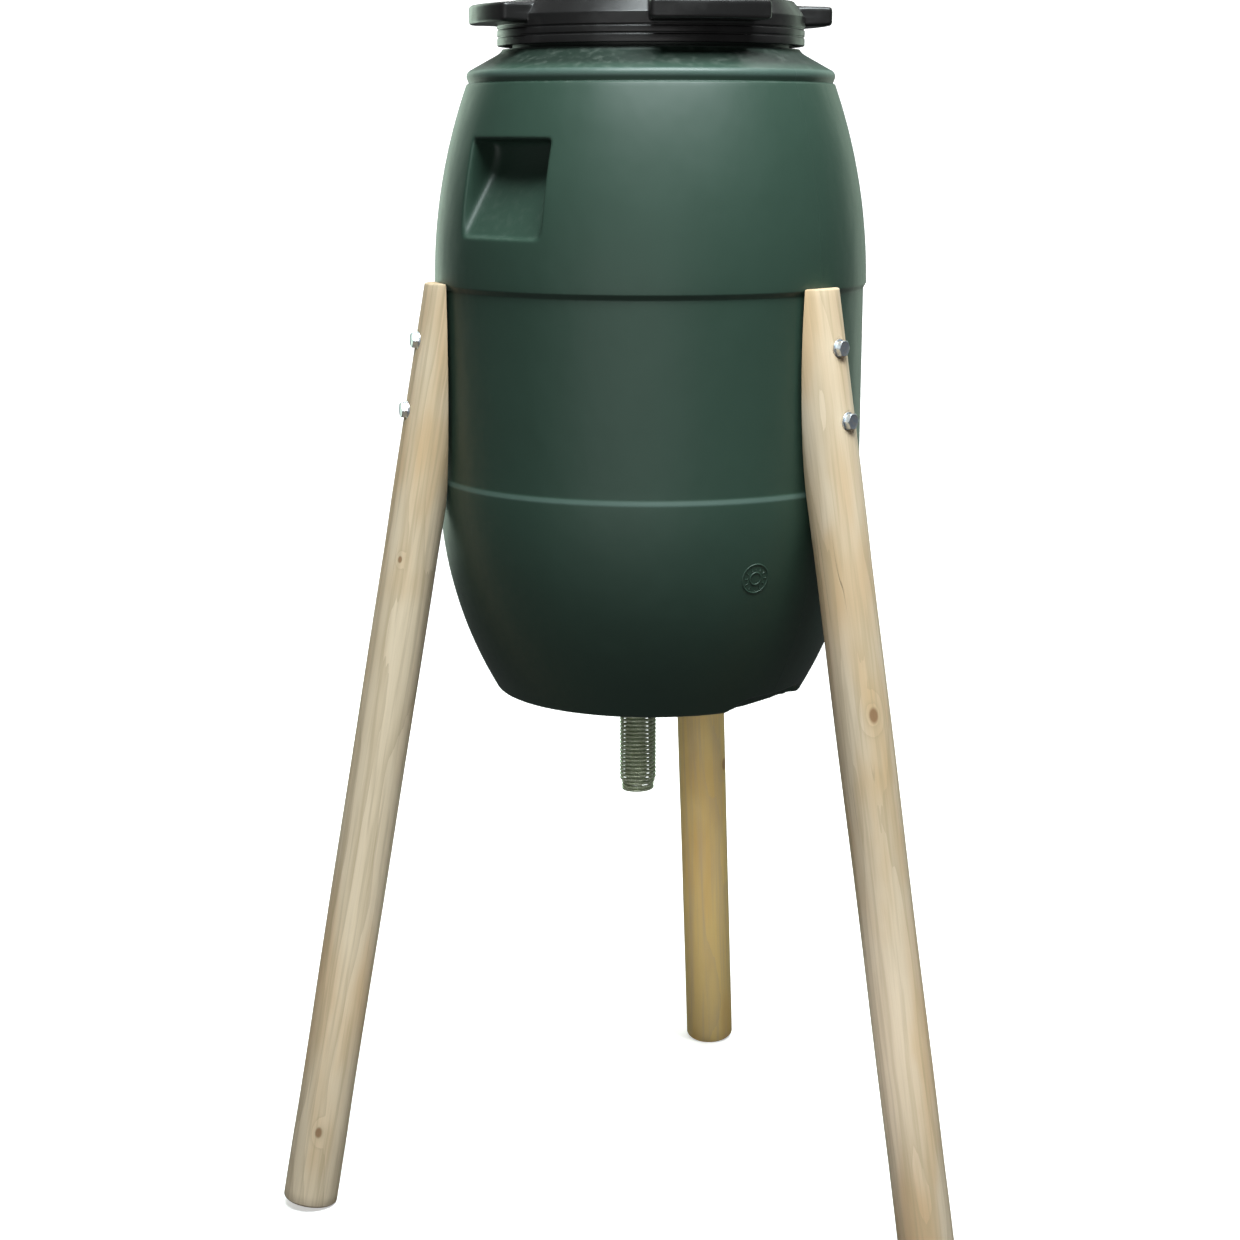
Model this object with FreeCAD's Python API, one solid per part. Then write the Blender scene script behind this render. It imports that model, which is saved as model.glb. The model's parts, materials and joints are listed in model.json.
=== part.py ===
import FreeCAD, Part
import math
import os

from FreeCAD import Vector

"""Free-standing feeder for game birds.

A screw-top plastic barrel is bolted to three splayed round poles.  A coil spring hangs through the
barrel's base, and grain falls through it when a bird pecks at the spring.

Millimetres, +Z up, z = 0 on the ground.  Each piece is drawn about the barrel's own axis and moved
by place() at the end, so that the origin is under the middle of the whole feeder.
Azimuths are in degrees: 0 is the front (-Y), 90 is the right (+X), 180 is the back (+Y).
"""

# ---------------------------------------------------------------- barrel
WALL = 3.0                  # thickness of the blown wall
BASE_Z = 488.0              # underside of the foot ring over the ground; every rise starts here
BASE_R = 140.0              # outer edge of the foot ring's flat
FOOT_RING_WIDTH = 12.0
BASE_PANEL_RISE = 10.0      # height of the base's middle over the foot ring
HEEL_OUT = 7.0              # rounded heel between the foot ring and the lower dome
HEEL_RISE = 4.5
HEEL_MID = (0.66, 0.3)       # shares of the heel out and up at the middle of its curve
BELLY_R = 199.8             # widest part of the barrel
BELLY_RISE = 383.0
LEDGE_INSET = 1.6           # top of the lower dome, inside the belly's radius
LEDGE_RISE = 202.0
LOWER_BULGE = 14.0          # bow of the lower dome outside a straight line
BAND_LOW_INSET = 3.2        # straight middle band, inside the belly's radius
BAND_HIGH_INSET = 2.5
BAND_STEP = 4.5             # height of the step from either dome to the band
UPPER_BULGE = 7.9           # bow of the upper dome outside a straight line
SHOULDER_R = 168.4          # top of the upper dome
SHOULDER_RISE = 561.0
GROOVE_DEPTH = 2.2          # groove between the dome and the bead over it
GROOVE_HEIGHT = 5.5
GROOVE_LOW = 0.2            # share of the groove's height that its lower side takes
BEAD_INSET = 0.4            # upright bead, inside the top of the dome
BEAD_HEIGHT = 4.0
BEAD_BEVEL = 3.0            # from the bead to the slope over it
NECK_R = 126.0              # root of the neck's thread
COLLAR_STEP = 10.0          # plain collar under the lid, outside the neck
COLLAR_BEVEL = 3.0          # from the slope to the collar
COLLAR_RISE = 591.0
COLLAR_TOP_RISE = 592.0
RIM_RISE = 624.0            # top of the mouth
RIM_WIDTH = 7.0             # flat rim, from the mouth's opening to the neck's outside
RIM_DEPTH = 3.0

THREAD_HEIGHT = 5.0         # crest over the root
THREAD_WIDTH = 6.0          # axial width at the root
THREAD_CREST = 3.0          # axial width at the crest
THREAD_LEAD = 18.0          # rise for each turn
THREAD_TURNS = 1.1
THREAD_START = 4.5          # lower end of the ridge over the collar
THREAD_SINK = 0.8           # root of the ridge inside the neck's wall

# ---------------------------------------------------------------- hand grips and base notches
GRIP_AZIMUTH = -31.2        # the second grip is opposite
GRIP_WIDTH = 98.0
GRIP_RISE = 429.0
GRIP_HEIGHT = 85.0
GRIP_DEPTH = 49.8           # pocket's back, inside the belly's radius
GRIP_MOUTH_INSET = 9.8      # where the sloping floor starts, inside the belly's radius
GRIP_FLOOR_RISE = 62.0      # height that the floor climbs on its way in
GRIP_ROUND = 9.0
NOTCH_AZIMUTH = 63.5        # the second notch is opposite
NOTCH_WIDTH = 84.0          # along the notch's ceiling
NOTCH_RAMP = 14.0           # run of each sloping end, down to the foot ring
NOTCH_HEIGHT = 13.0
NOTCH_DEPTH = 11.0          # back of the notch, inside the foot ring's outer edge

# ---------------------------------------------------------------- screw lid
RING_WALL = 7.0             # skirt
RING_LOW_GAP = 3.0          # skirt's lower edge over the collar
RING_BORE_GAP = 2.0         # skirt's bore over the crest of the neck's thread
RING_SLOPE_HEIGHT = 13.5    # sloping shoulder from the skirt to the top
RING_SLOPE_IN = 10.0
RING_SLOPE_WALL = 3.4
RING_TOP_THICK = 3.7        # inward flange that presses on the inner lid
RING_FLANGE_IN = 4.0        # flange's edge inside the mouth's opening
SKIRT_GROOVE_DEPTH = 0.9
SKIRT_GROOVE_HEIGHT = 2.2
SKIRT_GROOVES = (6.5, 13.5)     # over the skirt's lower edge
LUG_OUT = 25.5              # lug outside the skirt
LUG_HEIGHT = 18.0
LUG_DROP = 3.0              # lug's top under the ring's top
LUG_ANGLE = 40.5
LUG_COUNT = 4
LUG_FIRST_AZIMUTH = 31.5    # middle of the first lug
LUG_ROUND = 2.5
LUG_SINK = 0.5              # share of the skirt's wall that a lug is sunk into

SEAL_THICK = 3.0
SEAL_GAP = 0.5              # seal's bore over the mouth's opening
INNER_LID_GAP = 0.3         # spigot and seal inside what they slide past
INNER_LID_THICK = 3.0
SPIGOT_DEPTH = 11.0
SPIGOT_WALL = 2.5
LID_LIFT_GAP = 0.3          # under the ring's flange, over the inner lid

# ---------------------------------------------------------------- legs
POLE_R = 25.5
LEG_AZIMUTHS = {"left": -60.0, "right": 60.0, "back": 180.0}
LEG_SPLAY = 10.0            # degrees off the vertical
LEG_TOP_OVER = 2.0          # top of the pole over the barrel's widest part
LEG_TOP_THICK = 14.0        # thickness left at the top by the flat
SCARF_GAP = 0.2             # flat on the pole beside the barrel's widest part
FOOT_CHAMFER = 2.0

# ---------------------------------------------------------------- bolts
BOLT_DROPS = {"upper": 51.0, "lower": 114.0}    # under the top of the pole
BOLT_R = 4.0
BOLT_HOLE_GAP = 0.5
HEAD_FLATS = 13.0
HEAD_HEIGHT = 5.3
HEAD_BEVEL = 30.0           # degrees, corners turned down
NUT_HEIGHT = 6.5
NUT_BORE_GAP = 0.08
BOLT_POKE = 3.0             # end of the bolt past its nut
WASHER_R = 8.0
WASHER_THICK = 1.6
WASHER_BORE_GAP = 0.25
PENNY_R = 12.5              # wide washer inside the barrel
PENNY_THICK = 1.5
PENNY_GAP = 0.1             # between its edge and the round wall
SPOT_DEPTH = 2.0            # flat cut in the round pole for the outer washer
SPOT_GAP = 1.5              # that flat outside the washer

# ---------------------------------------------------------------- feed spring and its bush
WIRE_R = 1.5
SPRING_R = 17.5             # outside of the coil
SPRING_X = -10.5            # middle of the spring's hole, off the barrel's axis
SPRING_Y = -2.0
SPRING_TIP_IN = 2.0         # last turns inside the coil's outside
SPRING_TIP_LENGTH = 9.0
SPRING_HANG = 107.0         # under the foot ring
SWING_ROOM = 7.5            # bush's bore outside the coil
BUSH_WALL = 3.0
BUSH_HOLE_GAP = 0.3
BUSH_FLANGE_OUT = 11.0
BUSH_FLANGE_THICK = 4.0
BUSH_HEIGHT = 27.0          # over the barrel's floor
BUSH_NUT_WALL = 8.0         # least wall, at the middle of a flat
BUSH_NUT_HEIGHT = 10.0
BUSH_NUT_GAP = 0.1
PIN_R = 2.5
PIN_GAP = 0.05
PIN_POKE = 3.0
PIN_DROP = 8.0              # pin's axis under the top of the bush
LOOP_GAP = 0.5              # loop's bore over the pin
LOOP_HANG = 0.4             # loop's middle below the pin's
BAR_SINK = 1.5              # bar across the coil under its top, in wire radii

# ---------------------------------------------------------------- worked out from the above
BASE_PANEL_Z = BASE_Z + BASE_PANEL_RISE
BASE_PANEL_R = BASE_R - FOOT_RING_WIDTH - BASE_PANEL_RISE
BASE_FLOOR_Z = BASE_PANEL_Z + WALL
BELLY_Z = BASE_Z + BELLY_RISE
LEDGE_Z = BASE_Z + LEDGE_RISE
BAND_LOW_R = BELLY_R - BAND_LOW_INSET
BAND_HIGH_R = BELLY_R - BAND_HIGH_INSET
SHOULDER_Z = BASE_Z + SHOULDER_RISE
COLLAR_R = NECK_R + COLLAR_STEP
COLLAR_Z = BASE_Z + COLLAR_RISE
COLLAR_TOP_Z = BASE_Z + COLLAR_TOP_RISE
MOUTH_R = NECK_R - RIM_WIDTH
RIM_Z = BASE_Z + RIM_RISE

GRIP_LOW_Z = BASE_Z + GRIP_RISE
GRIP_HIGH_Z = GRIP_LOW_Z + GRIP_HEIGHT
GRIP_BACK_R = BELLY_R - GRIP_DEPTH
GRIP_MOUTH_R = BELLY_R - GRIP_MOUTH_INSET
NOTCH_BACK_R = BASE_R - NOTCH_DEPTH

THREAD_CREST_R = NECK_R + THREAD_HEIGHT
THREAD_START_Z = COLLAR_TOP_Z + THREAD_START
RING_BORE_R = THREAD_CREST_R + RING_BORE_GAP
RING_R = RING_BORE_R + RING_WALL
SEAL_TOP_Z = RIM_Z + SEAL_THICK
INNER_LID_TOP_Z = SEAL_TOP_Z + INNER_LID_THICK
RING_LOW_Z = COLLAR_TOP_Z + RING_LOW_GAP
RING_TOP_Z = INNER_LID_TOP_Z + LID_LIFT_GAP + RING_TOP_THICK
RING_SHOULDER_Z = RING_TOP_Z - RING_SLOPE_HEIGHT
RING_TOP_R = RING_R - RING_SLOPE_IN
RING_FLANGE_R = MOUTH_R - RING_FLANGE_IN
LUG_R = RING_R + LUG_OUT
LUG_HIGH_Z = RING_TOP_Z - LUG_DROP
LUG_LOW_Z = LUG_HIGH_Z - LUG_HEIGHT

SPLAY = math.radians(LEG_SPLAY)
LEG_LEAN = math.tan(SPLAY)
SCARF_R = BELLY_R + SCARF_GAP
LEG_TOP_Z = BELLY_Z + LEG_TOP_OVER
LEG_GROUND_R = SCARF_R + LEG_TOP_THICK - POLE_R / math.cos(SPLAY) + LEG_LEAN * LEG_TOP_Z
FOOT_Z = (POLE_R - FOOT_CHAMFER) * math.sin(SPLAY)
FOOT_R = LEG_GROUND_R - FOOT_Z * LEG_LEAN
BOLT_Z = {name: LEG_TOP_Z - drop for name, drop in BOLT_DROPS.items()}

BUSH_BORE_R = SPRING_R + SWING_ROOM
BUSH_R = BUSH_BORE_R + BUSH_WALL
BUSH_TOP_Z = BASE_FLOOR_Z + BUSH_HEIGHT
PIN_Z = BUSH_TOP_Z - PIN_DROP
LOOP_MID_R = PIN_R + LOOP_GAP + WIRE_R
LOOP_Z = PIN_Z - LOOP_HANG
BAR_DROP = BAR_SINK * WIRE_R
COIL_TOP_Z = LOOP_Z - LOOP_MID_R - 2 * WIRE_R
SPRING_LOW_Z = BASE_Z - SPRING_HANG
SPRING_TIP_R = SPRING_R - SPRING_TIP_IN
AXIS = Vector(0, 0, 1)
ORIGIN = Vector(0, 0, 0)


def direction(azimuth):
    """Unit vector that points away from the barrel at an azimuth."""
    turn = math.radians(azimuth)
    return Vector(math.sin(turn), -math.cos(turn), 0)


def turn_to(shape, azimuth):
    """A copy of a shape drawn along +X, turned to face an azimuth."""
    turned = shape.copy()
    turned.rotate(ORIGIN, AXIS, azimuth - 90)
    return turned


def line(start, end):
    """Straight edge between two (radius, height) points."""
    return Part.LineSegment(Vector(start[0], 0, start[1]), Vector(end[0], 0, end[1])).toShape()


def arc(start, middle, end):
    """Round edge through three (radius, height) points."""
    points = [Vector(r, 0, z) for r, z in (start, middle, end)]
    return Part.Arc(*points).toShape()


def bow(start, end, bulge):
    """Round edge that rises by bulge outside the straight line between two points."""
    run_r, run_z = end[0] - start[0], end[1] - start[1]
    length = math.hypot(run_r, run_z)
    middle = ((start[0] + end[0]) / 2 + bulge * run_z / length,
              (start[1] + end[1]) / 2 - bulge * run_r / length)
    return arc(start, middle, end)


def polygon(points):
    """Closed outline through (radius, height) points, drawn in the XZ plane."""
    corners = [Vector(r, 0, z) for r, z in points]
    return Part.makePolygon(corners + corners[:1])


def revolve(wire):
    """Solid made by turning a closed outline about the vertical axis."""
    return Part.Face(wire).revolve(ORIGIN, AXIS, 360)


def tube(outer_r, inner_r, low_z, high_z):
    """Upright round tube."""
    height = high_z - low_z
    base = Vector(0, 0, low_z)
    return Part.makeCylinder(outer_r, height, base).cut(Part.makeCylinder(inner_r, height, base))


def slab(low_x, high_x, half_width, low_z, high_z):
    """Box that is centred on Y."""
    size = (high_x - low_x, 2 * half_width, high_z - low_z)
    return Part.makeBox(*size, Vector(low_x, -half_width, low_z))


def one_solid(shape):
    """The single solid of a boolean result."""
    if len(shape.Solids) != 1:
        raise ValueError(f"expected one solid, got {len(shape.Solids)}")
    return shape.Solids[0]


# ---------------------------------------------------------------- barrel
def barrel_profile(inset):
    """Points of the barrel's wall, set in from the outside by inset, from the base to the collar.

    Each corner is (radius, height, share of the inset along the radius, share along the height).
    """
    heel_out, heel_up = HEEL_MID
    bead_r = SHOULDER_R - BEAD_INSET
    bead_z = SHOULDER_Z + GROOVE_HEIGHT
    bead_top_z = bead_z + BEAD_HEIGHT
    corners = {
        "panel": (BASE_PANEL_R, BASE_PANEL_Z, 0.41, 1.0),
        "ring_in": (BASE_PANEL_R + BASE_PANEL_RISE, BASE_Z, 0.41, 1.0),
        "ring_out": (BASE_R, BASE_Z, -0.2, 1.0),
        "heel_mid": (BASE_R + heel_out * HEEL_OUT, BASE_Z + heel_up * HEEL_RISE, -0.6, 0.8),
        "heel": (BASE_R + HEEL_OUT, BASE_Z + HEEL_RISE, -0.87, 0.5),
        "ledge": (BELLY_R - LEDGE_INSET, LEDGE_Z, -1.0, 0.0),
        "band_low": (BAND_LOW_R, LEDGE_Z + BAND_STEP, -1.0, 0.0),
        "band_high": (BAND_HIGH_R, BELLY_Z - BAND_STEP, -1.0, 0.0),
        "belly": (BELLY_R, BELLY_Z, -1.0, 0.0),
        "shoulder": (SHOULDER_R, SHOULDER_Z, -0.79, -0.72),
        "groove": (SHOULDER_R - GROOVE_DEPTH, SHOULDER_Z + GROOVE_LOW * GROOVE_HEIGHT, -1.28, -0.48),
        "bead": (bead_r, bead_z, -1.0, 0.2),
        "bead_top": (bead_r, bead_top_z, -1.0, -0.41),
        "slope_top": (bead_r - BEAD_BEVEL, bead_top_z + BEAD_BEVEL, -0.61, -0.81),
        "slope_foot": (COLLAR_R + COLLAR_BEVEL, COLLAR_Z - COLLAR_BEVEL, -0.61, -0.81),
        "collar": (COLLAR_R, COLLAR_Z, -1.0, -0.9),
        "collar_top": (COLLAR_R, COLLAR_TOP_Z, -1.0, -1.0),
    }
    return {name: (r + inset * dr, z + inset * dz) for name, (r, z, dr, dz) in corners.items()}


def barrel_body(inset, top):
    """Solid of revolution inside the barrel's wall; top lists the corners over the collar."""
    at = barrel_profile(inset)
    low_z = at["panel"][1]
    edges = [
        line((0, low_z), at["panel"]),
        line(at["panel"], at["ring_in"]),
        line(at["ring_in"], at["ring_out"]),
        arc(at["ring_out"], at["heel_mid"], at["heel"]),
        bow(at["heel"], at["ledge"], LOWER_BULGE),
        line(at["ledge"], at["band_low"]),
        line(at["band_low"], at["band_high"]),
        line(at["band_high"], at["belly"]),
        bow(at["belly"], at["shoulder"], UPPER_BULGE),
        line(at["shoulder"], at["groove"]),
        line(at["groove"], at["bead"]),
        line(at["bead"], at["bead_top"]),
        line(at["bead_top"], at["slope_top"]),
        line(at["slope_top"], at["slope_foot"]),
        line(at["slope_foot"], at["collar"]),
        line(at["collar"], at["collar_top"]),
    ]
    corners = [at["collar_top"], *top, (0, top[-1][1])]
    edges += [line(a, b) for a, b in zip(corners, corners[1:])]
    edges.append(line(corners[-1], (0, low_z)))
    return revolve(Part.Wire(edges))


def grip_tool(grow):
    """Hand pocket along +X, grown by the wall: its floor climbs inwards to a deep upper part."""
    slope = math.atan2(GRIP_MOUTH_R - GRIP_BACK_R, GRIP_FLOOR_RISE)
    outside = BELLY_R + WALL + grow
    drop = grow / math.sin(slope)
    back_r = GRIP_BACK_R - grow
    floor_top_z = GRIP_LOW_Z + GRIP_FLOOR_RISE - drop + grow / math.tan(slope)
    low_z = GRIP_LOW_Z - grow
    mouth_r = GRIP_MOUTH_R - (low_z - GRIP_LOW_Z + drop) * math.tan(slope)
    outline = [
        (outside, low_z),
        (mouth_r, low_z),
        (back_r, floor_top_z),
        (back_r, GRIP_HIGH_Z + grow),
        (outside, GRIP_HIGH_Z + grow),
    ]
    half = GRIP_WIDTH / 2 + grow
    pocket = Part.Face(polygon(outline)).extrude(Vector(0, 2 * half, 0))
    pocket.translate(Vector(0, -half, 0))
    sides = [e for e in pocket.Edges if abs(e.CenterOfMass.y) > half - 1e-3]
    rounded = [e for e in sides if e.CenterOfMass.x < outside - 1e-3]
    return pocket.makeFillet(GRIP_ROUND + grow, rounded)


def notch_tool(grow):
    """Finger notch along +X under the foot ring, with sloping ends, grown by the wall."""
    slope = NOTCH_RAMP / NOTCH_HEIGHT
    low_z = BASE_Z - WALL
    high_z = BASE_Z + NOTCH_HEIGHT + grow
    high_half = NOTCH_WIDTH / 2 + grow * (math.hypot(1, slope) - slope)
    low_half = high_half + slope * (high_z - low_z)
    start_r = NOTCH_BACK_R - grow
    corners = [
        Vector(start_r, -low_half, low_z),
        Vector(start_r, low_half, low_z),
        Vector(start_r, high_half, high_z),
        Vector(start_r, -high_half, high_z),
    ]
    face = Part.Face(Part.makePolygon(corners + corners[:1]))
    return face.extrude(Vector(BELLY_R - start_r, 0, 0))


def neck_thread():
    """One raised helical ridge round the neck."""
    root_r = NECK_R - THREAD_SINK
    helix = Part.makeHelix(THREAD_LEAD, THREAD_LEAD * THREAD_TURNS, root_r)
    section = Part.Wire(polygon([
        (root_r, -THREAD_WIDTH / 2),
        (THREAD_CREST_R, -THREAD_CREST / 2),
        (THREAD_CREST_R, THREAD_CREST / 2),
        (root_r, THREAD_WIDTH / 2),
    ]))
    ridge = Part.Wire(helix).makePipeShell([section], True, True)
    ridge.translate(Vector(0, 0, THREAD_START_Z + THREAD_WIDTH / 2))
    return ridge


def make_barrel():
    """Blown barrel: domed shell, neck with its thread, two hand pockets and two base notches."""
    outside = barrel_body(0, [(NECK_R, COLLAR_TOP_Z), (NECK_R, RIM_Z)])
    neck_in_r = NECK_R - WALL
    inside = barrel_body(WALL, [(neck_in_r, COLLAR_TOP_Z - WALL), (neck_in_r, RIM_Z - RIM_DEPTH)])
    for azimuth in (GRIP_AZIMUTH, GRIP_AZIMUTH + 180):
        outside = outside.cut(turn_to(grip_tool(0), azimuth))
        inside = inside.cut(turn_to(grip_tool(WALL), azimuth))
    for azimuth in (NOTCH_AZIMUTH, NOTCH_AZIMUTH + 180):
        outside = outside.cut(turn_to(notch_tool(0), azimuth))
        inside = inside.cut(turn_to(notch_tool(WALL), azimuth))
    shell = outside.cut(inside)
    shell = shell.cut(Part.makeCylinder(MOUTH_R, 3 * RIM_DEPTH, Vector(0, 0, RIM_Z - 2 * RIM_DEPTH)))
    shell = shell.fuse(neck_thread())
    spring_hole = Part.makeCylinder(BUSH_R + BUSH_HOLE_GAP, 4 * WALL,
                                    Vector(SPRING_X, SPRING_Y, BASE_PANEL_Z - WALL))
    shell = shell.cut(spring_hole)
    for azimuth in LEG_AZIMUTHS.values():
        for z in BOLT_Z.values():
            hole = Part.makeCylinder(BOLT_R + BOLT_HOLE_GAP, BELLY_R, Vector(0, 0, z), Vector(1, 0, 0))
            shell = shell.cut(turn_to(hole, azimuth))
    return one_solid(shell)


# ---------------------------------------------------------------- screw lid
def make_lid_ring():
    """Screw ring: grooved skirt, sloping shoulder, inward flange and four broad lugs."""
    slope = (RING_R - RING_TOP_R) / (RING_TOP_Z - RING_SHOULDER_Z)
    inner_top_z = RING_TOP_Z - RING_TOP_THICK
    slope_in_r = RING_TOP_R + slope * RING_TOP_THICK - RING_SLOPE_WALL
    bore_top_z = inner_top_z - (RING_BORE_R - slope_in_r) / slope
    ring = revolve(polygon([
        (RING_BORE_R, RING_LOW_Z),
        (RING_R, RING_LOW_Z),
        (RING_R, RING_SHOULDER_Z),
        (RING_TOP_R, RING_TOP_Z),
        (RING_FLANGE_R, RING_TOP_Z),
        (RING_FLANGE_R, inner_top_z),
        (slope_in_r, inner_top_z),
        (RING_BORE_R, bore_top_z),
    ]))
    for rise in SKIRT_GROOVES:
        z = RING_LOW_Z + rise
        ring = ring.cut(tube(RING_R + 1, RING_R - SKIRT_GROOVE_DEPTH, z, z + SKIRT_GROOVE_HEIGHT))
    lug_in_r = RING_R - LUG_SINK * RING_WALL
    for number in range(LUG_COUNT):
        azimuth = LUG_FIRST_AZIMUTH + number * 360 / LUG_COUNT
        ring = ring.fuse(turn_to(lug(lug_in_r), azimuth))
    core = revolve(polygon([
        (0, LUG_LOW_Z - 1),
        (RING_BORE_R, LUG_LOW_Z - 1),
        (RING_BORE_R, bore_top_z),
        (slope_in_r, inner_top_z),
        (0, inner_top_z),
    ]))
    return one_solid(ring.cut(core))


def lug(inner_r):
    """Broad lug along +X, between two radii, with rounded outer corners."""
    height = LUG_HIGH_Z - LUG_LOW_Z
    wedge = Part.makeCylinder(LUG_R, height, Vector(0, 0, LUG_LOW_Z), AXIS, LUG_ANGLE)
    wedge.rotate(ORIGIN, AXIS, -LUG_ANGLE / 2)
    block = wedge.cut(Part.makeCylinder(inner_r, height, Vector(0, 0, LUG_LOW_Z)))
    outer = [e for e in block.Edges if e.CenterOfMass.x > LUG_R * 0.93]
    return block.makeFillet(LUG_ROUND, outer)


def make_lid_seal():
    """Flat rubber ring on the mouth's rim."""
    return tube(NECK_R - INNER_LID_GAP, MOUTH_R + SEAL_GAP, RIM_Z, SEAL_TOP_Z)


def make_inner_lid():
    """Disc that closes the mouth: a flange over the seal, a spigot and a dished middle."""
    spigot_r = MOUTH_R - INNER_LID_GAP
    spigot_in_r = spigot_r - SPIGOT_WALL
    low_z = SEAL_TOP_Z - SPIGOT_DEPTH
    return revolve(polygon([
        (0, low_z),
        (spigot_r, low_z),
        (spigot_r, SEAL_TOP_Z),
        (NECK_R, SEAL_TOP_Z),
        (NECK_R, INNER_LID_TOP_Z),
        (spigot_in_r, INNER_LID_TOP_Z),
        (spigot_in_r, low_z + INNER_LID_THICK),
        (0, low_z + INNER_LID_THICK),
    ]))


# ---------------------------------------------------------------- legs and their bolts
def pole_surface_r(z):
    """Distance from the barrel's axis to the outermost line of a pole, at a height."""
    return LEG_GROUND_R - LEG_LEAN * z + POLE_R / math.cos(SPLAY)


def spot_r(z):
    """Distance from the barrel's axis to the flat under an outer washer."""
    return pole_surface_r(z) - SPOT_DEPTH


def band_inner_r(z):
    """Inside radius of the barrel's middle band, at a height."""
    low_z = LEDGE_Z + BAND_STEP
    share = (z - low_z) / (BELLY_Z - BAND_STEP - low_z)
    return BAND_LOW_R + share * (BAND_HIGH_R - BAND_LOW_R) - WALL


def penny_r(z):
    """Distance from the barrel's axis to the outer face of a penny washer in the round wall."""
    return math.sqrt(band_inner_r(z - PENNY_R) ** 2 - PENNY_R ** 2) - PENNY_GAP


def make_leg():
    """Pole along +X: foot cut square, top cut level, inner side cut flat against the barrel."""
    up = Vector(-math.sin(SPLAY), 0, math.cos(SPLAY))
    length = (LEG_TOP_Z + 2 * POLE_R) / math.cos(SPLAY)
    pole = Part.makeCylinder(POLE_R, length, Vector(FOOT_R, 0, FOOT_Z), up)
    foot_edges = [e for e in pole.Edges if e.Length > 1 and e.CenterOfMass.z < 2 * POLE_R
                  and e.Curve.TypeId == "Part::GeomCircle"]
    pole = pole.makeChamfer(FOOT_CHAMFER, foot_edges)
    reach = LEG_GROUND_R + 2 * POLE_R
    pole = pole.cut(slab(-reach, reach, 2 * POLE_R, LEG_TOP_Z, LEG_TOP_Z + 4 * POLE_R))
    pole = pole.cut(slab(-reach, SCARF_R, 2 * POLE_R, 0, LEG_TOP_Z + 1))
    for z in BOLT_Z.values():
        hole = Part.makeCylinder(BOLT_R + BOLT_HOLE_GAP, reach, Vector(0, 0, z), Vector(1, 0, 0))
        flat = Part.makeCylinder(WASHER_R + SPOT_GAP, reach, Vector(spot_r(z), 0, z), Vector(1, 0, 0))
        pole = pole.cut(hole).cut(flat)
    return one_solid(pole)


def hexagon(flats, height, bore_r, both_sides):
    """Hexagon along +X from x = 0, with its corners turned down at one end or both."""
    corner_r = flats / math.sqrt(3)
    turns = [math.radians(60 * n) for n in range(7)]
    corners = [Vector(0, corner_r * math.cos(turn), corner_r * math.sin(turn)) for turn in turns]
    prism = Part.Face(Part.makePolygon(corners)).extrude(Vector(height, 0, 0))
    bevel = (corner_r - flats / 2) * math.tan(math.radians(HEAD_BEVEL))
    start_r = flats / 2 if both_sides else corner_r
    outline = [
        (0, 0), (0, start_r), (bevel if both_sides else 0, corner_r),
        (height - bevel, corner_r), (height, flats / 2), (height, 0),
    ]
    points = []
    for x, r in outline:
        point = Vector(x, r, 0)
        if not points or (point - points[-1]).Length > 1e-6:
            points.append(point)
    turned = Part.Face(Part.makePolygon(points + points[:1])).revolve(ORIGIN, Vector(1, 0, 0), 360)
    shape = prism.common(turned)
    if bore_r:
        shape = shape.cut(Part.makeCylinder(bore_r, height, ORIGIN, Vector(1, 0, 0)))
    return one_solid(shape)


def washer(outer_r, thick):
    """Flat washer along +X from x = 0."""
    bore = Part.makeCylinder(BOLT_R + WASHER_BORE_GAP, thick, ORIGIN, Vector(1, 0, 0))
    return Part.makeCylinder(outer_r, thick, ORIGIN, Vector(1, 0, 0)).cut(bore)


def make_bolt(z):
    """Hex bolt along X: head outside the pole, end past the nut inside the barrel."""
    seat = spot_r(z) + WASHER_THICK
    end = penny_r(z) - PENNY_THICK - NUT_HEIGHT - BOLT_POKE
    head = hexagon(HEAD_FLATS, HEAD_HEIGHT, 0, False)
    head.translate(Vector(seat, 0, z))
    shank = Part.makeCylinder(BOLT_R, seat - end, Vector(end, 0, z), Vector(1, 0, 0))
    return one_solid(head.fuse(shank))


def make_outer_washer(z):
    piece = washer(WASHER_R, WASHER_THICK)
    piece.translate(Vector(spot_r(z), 0, z))
    return piece


def make_inner_washer(z):
    piece = washer(PENNY_R, PENNY_THICK)
    piece.translate(Vector(penny_r(z) - PENNY_THICK, 0, z))
    return piece


def make_nut(z):
    piece = hexagon(HEAD_FLATS, NUT_HEIGHT, BOLT_R + NUT_BORE_GAP, True)
    piece.translate(Vector(penny_r(z) - PENNY_THICK - NUT_HEIGHT, 0, z))
    return piece


# ---------------------------------------------------------------- feed spring
def make_bush():
    """Flanged plastic bush through the barrel's base, cross-drilled for the hanger pin."""
    flange_low_z = BASE_PANEL_Z - BUSH_FLANGE_THICK
    flange = Part.makeCylinder(BUSH_R + BUSH_FLANGE_OUT, BUSH_FLANGE_THICK, Vector(0, 0, flange_low_z))
    bush = flange.fuse(Part.makeCylinder(BUSH_R, BUSH_TOP_Z - flange_low_z, Vector(0, 0, flange_low_z)))
    bush = bush.cut(Part.makeCylinder(BUSH_BORE_R, BUSH_TOP_Z, Vector(0, 0, flange_low_z - 1)))
    start = Vector(-2 * BUSH_R, 0, PIN_Z)
    cross = Part.makeCylinder(PIN_R + PIN_GAP, 4 * BUSH_R, start, Vector(1, 0, 0))
    return one_solid(bush.cut(cross))


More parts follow.
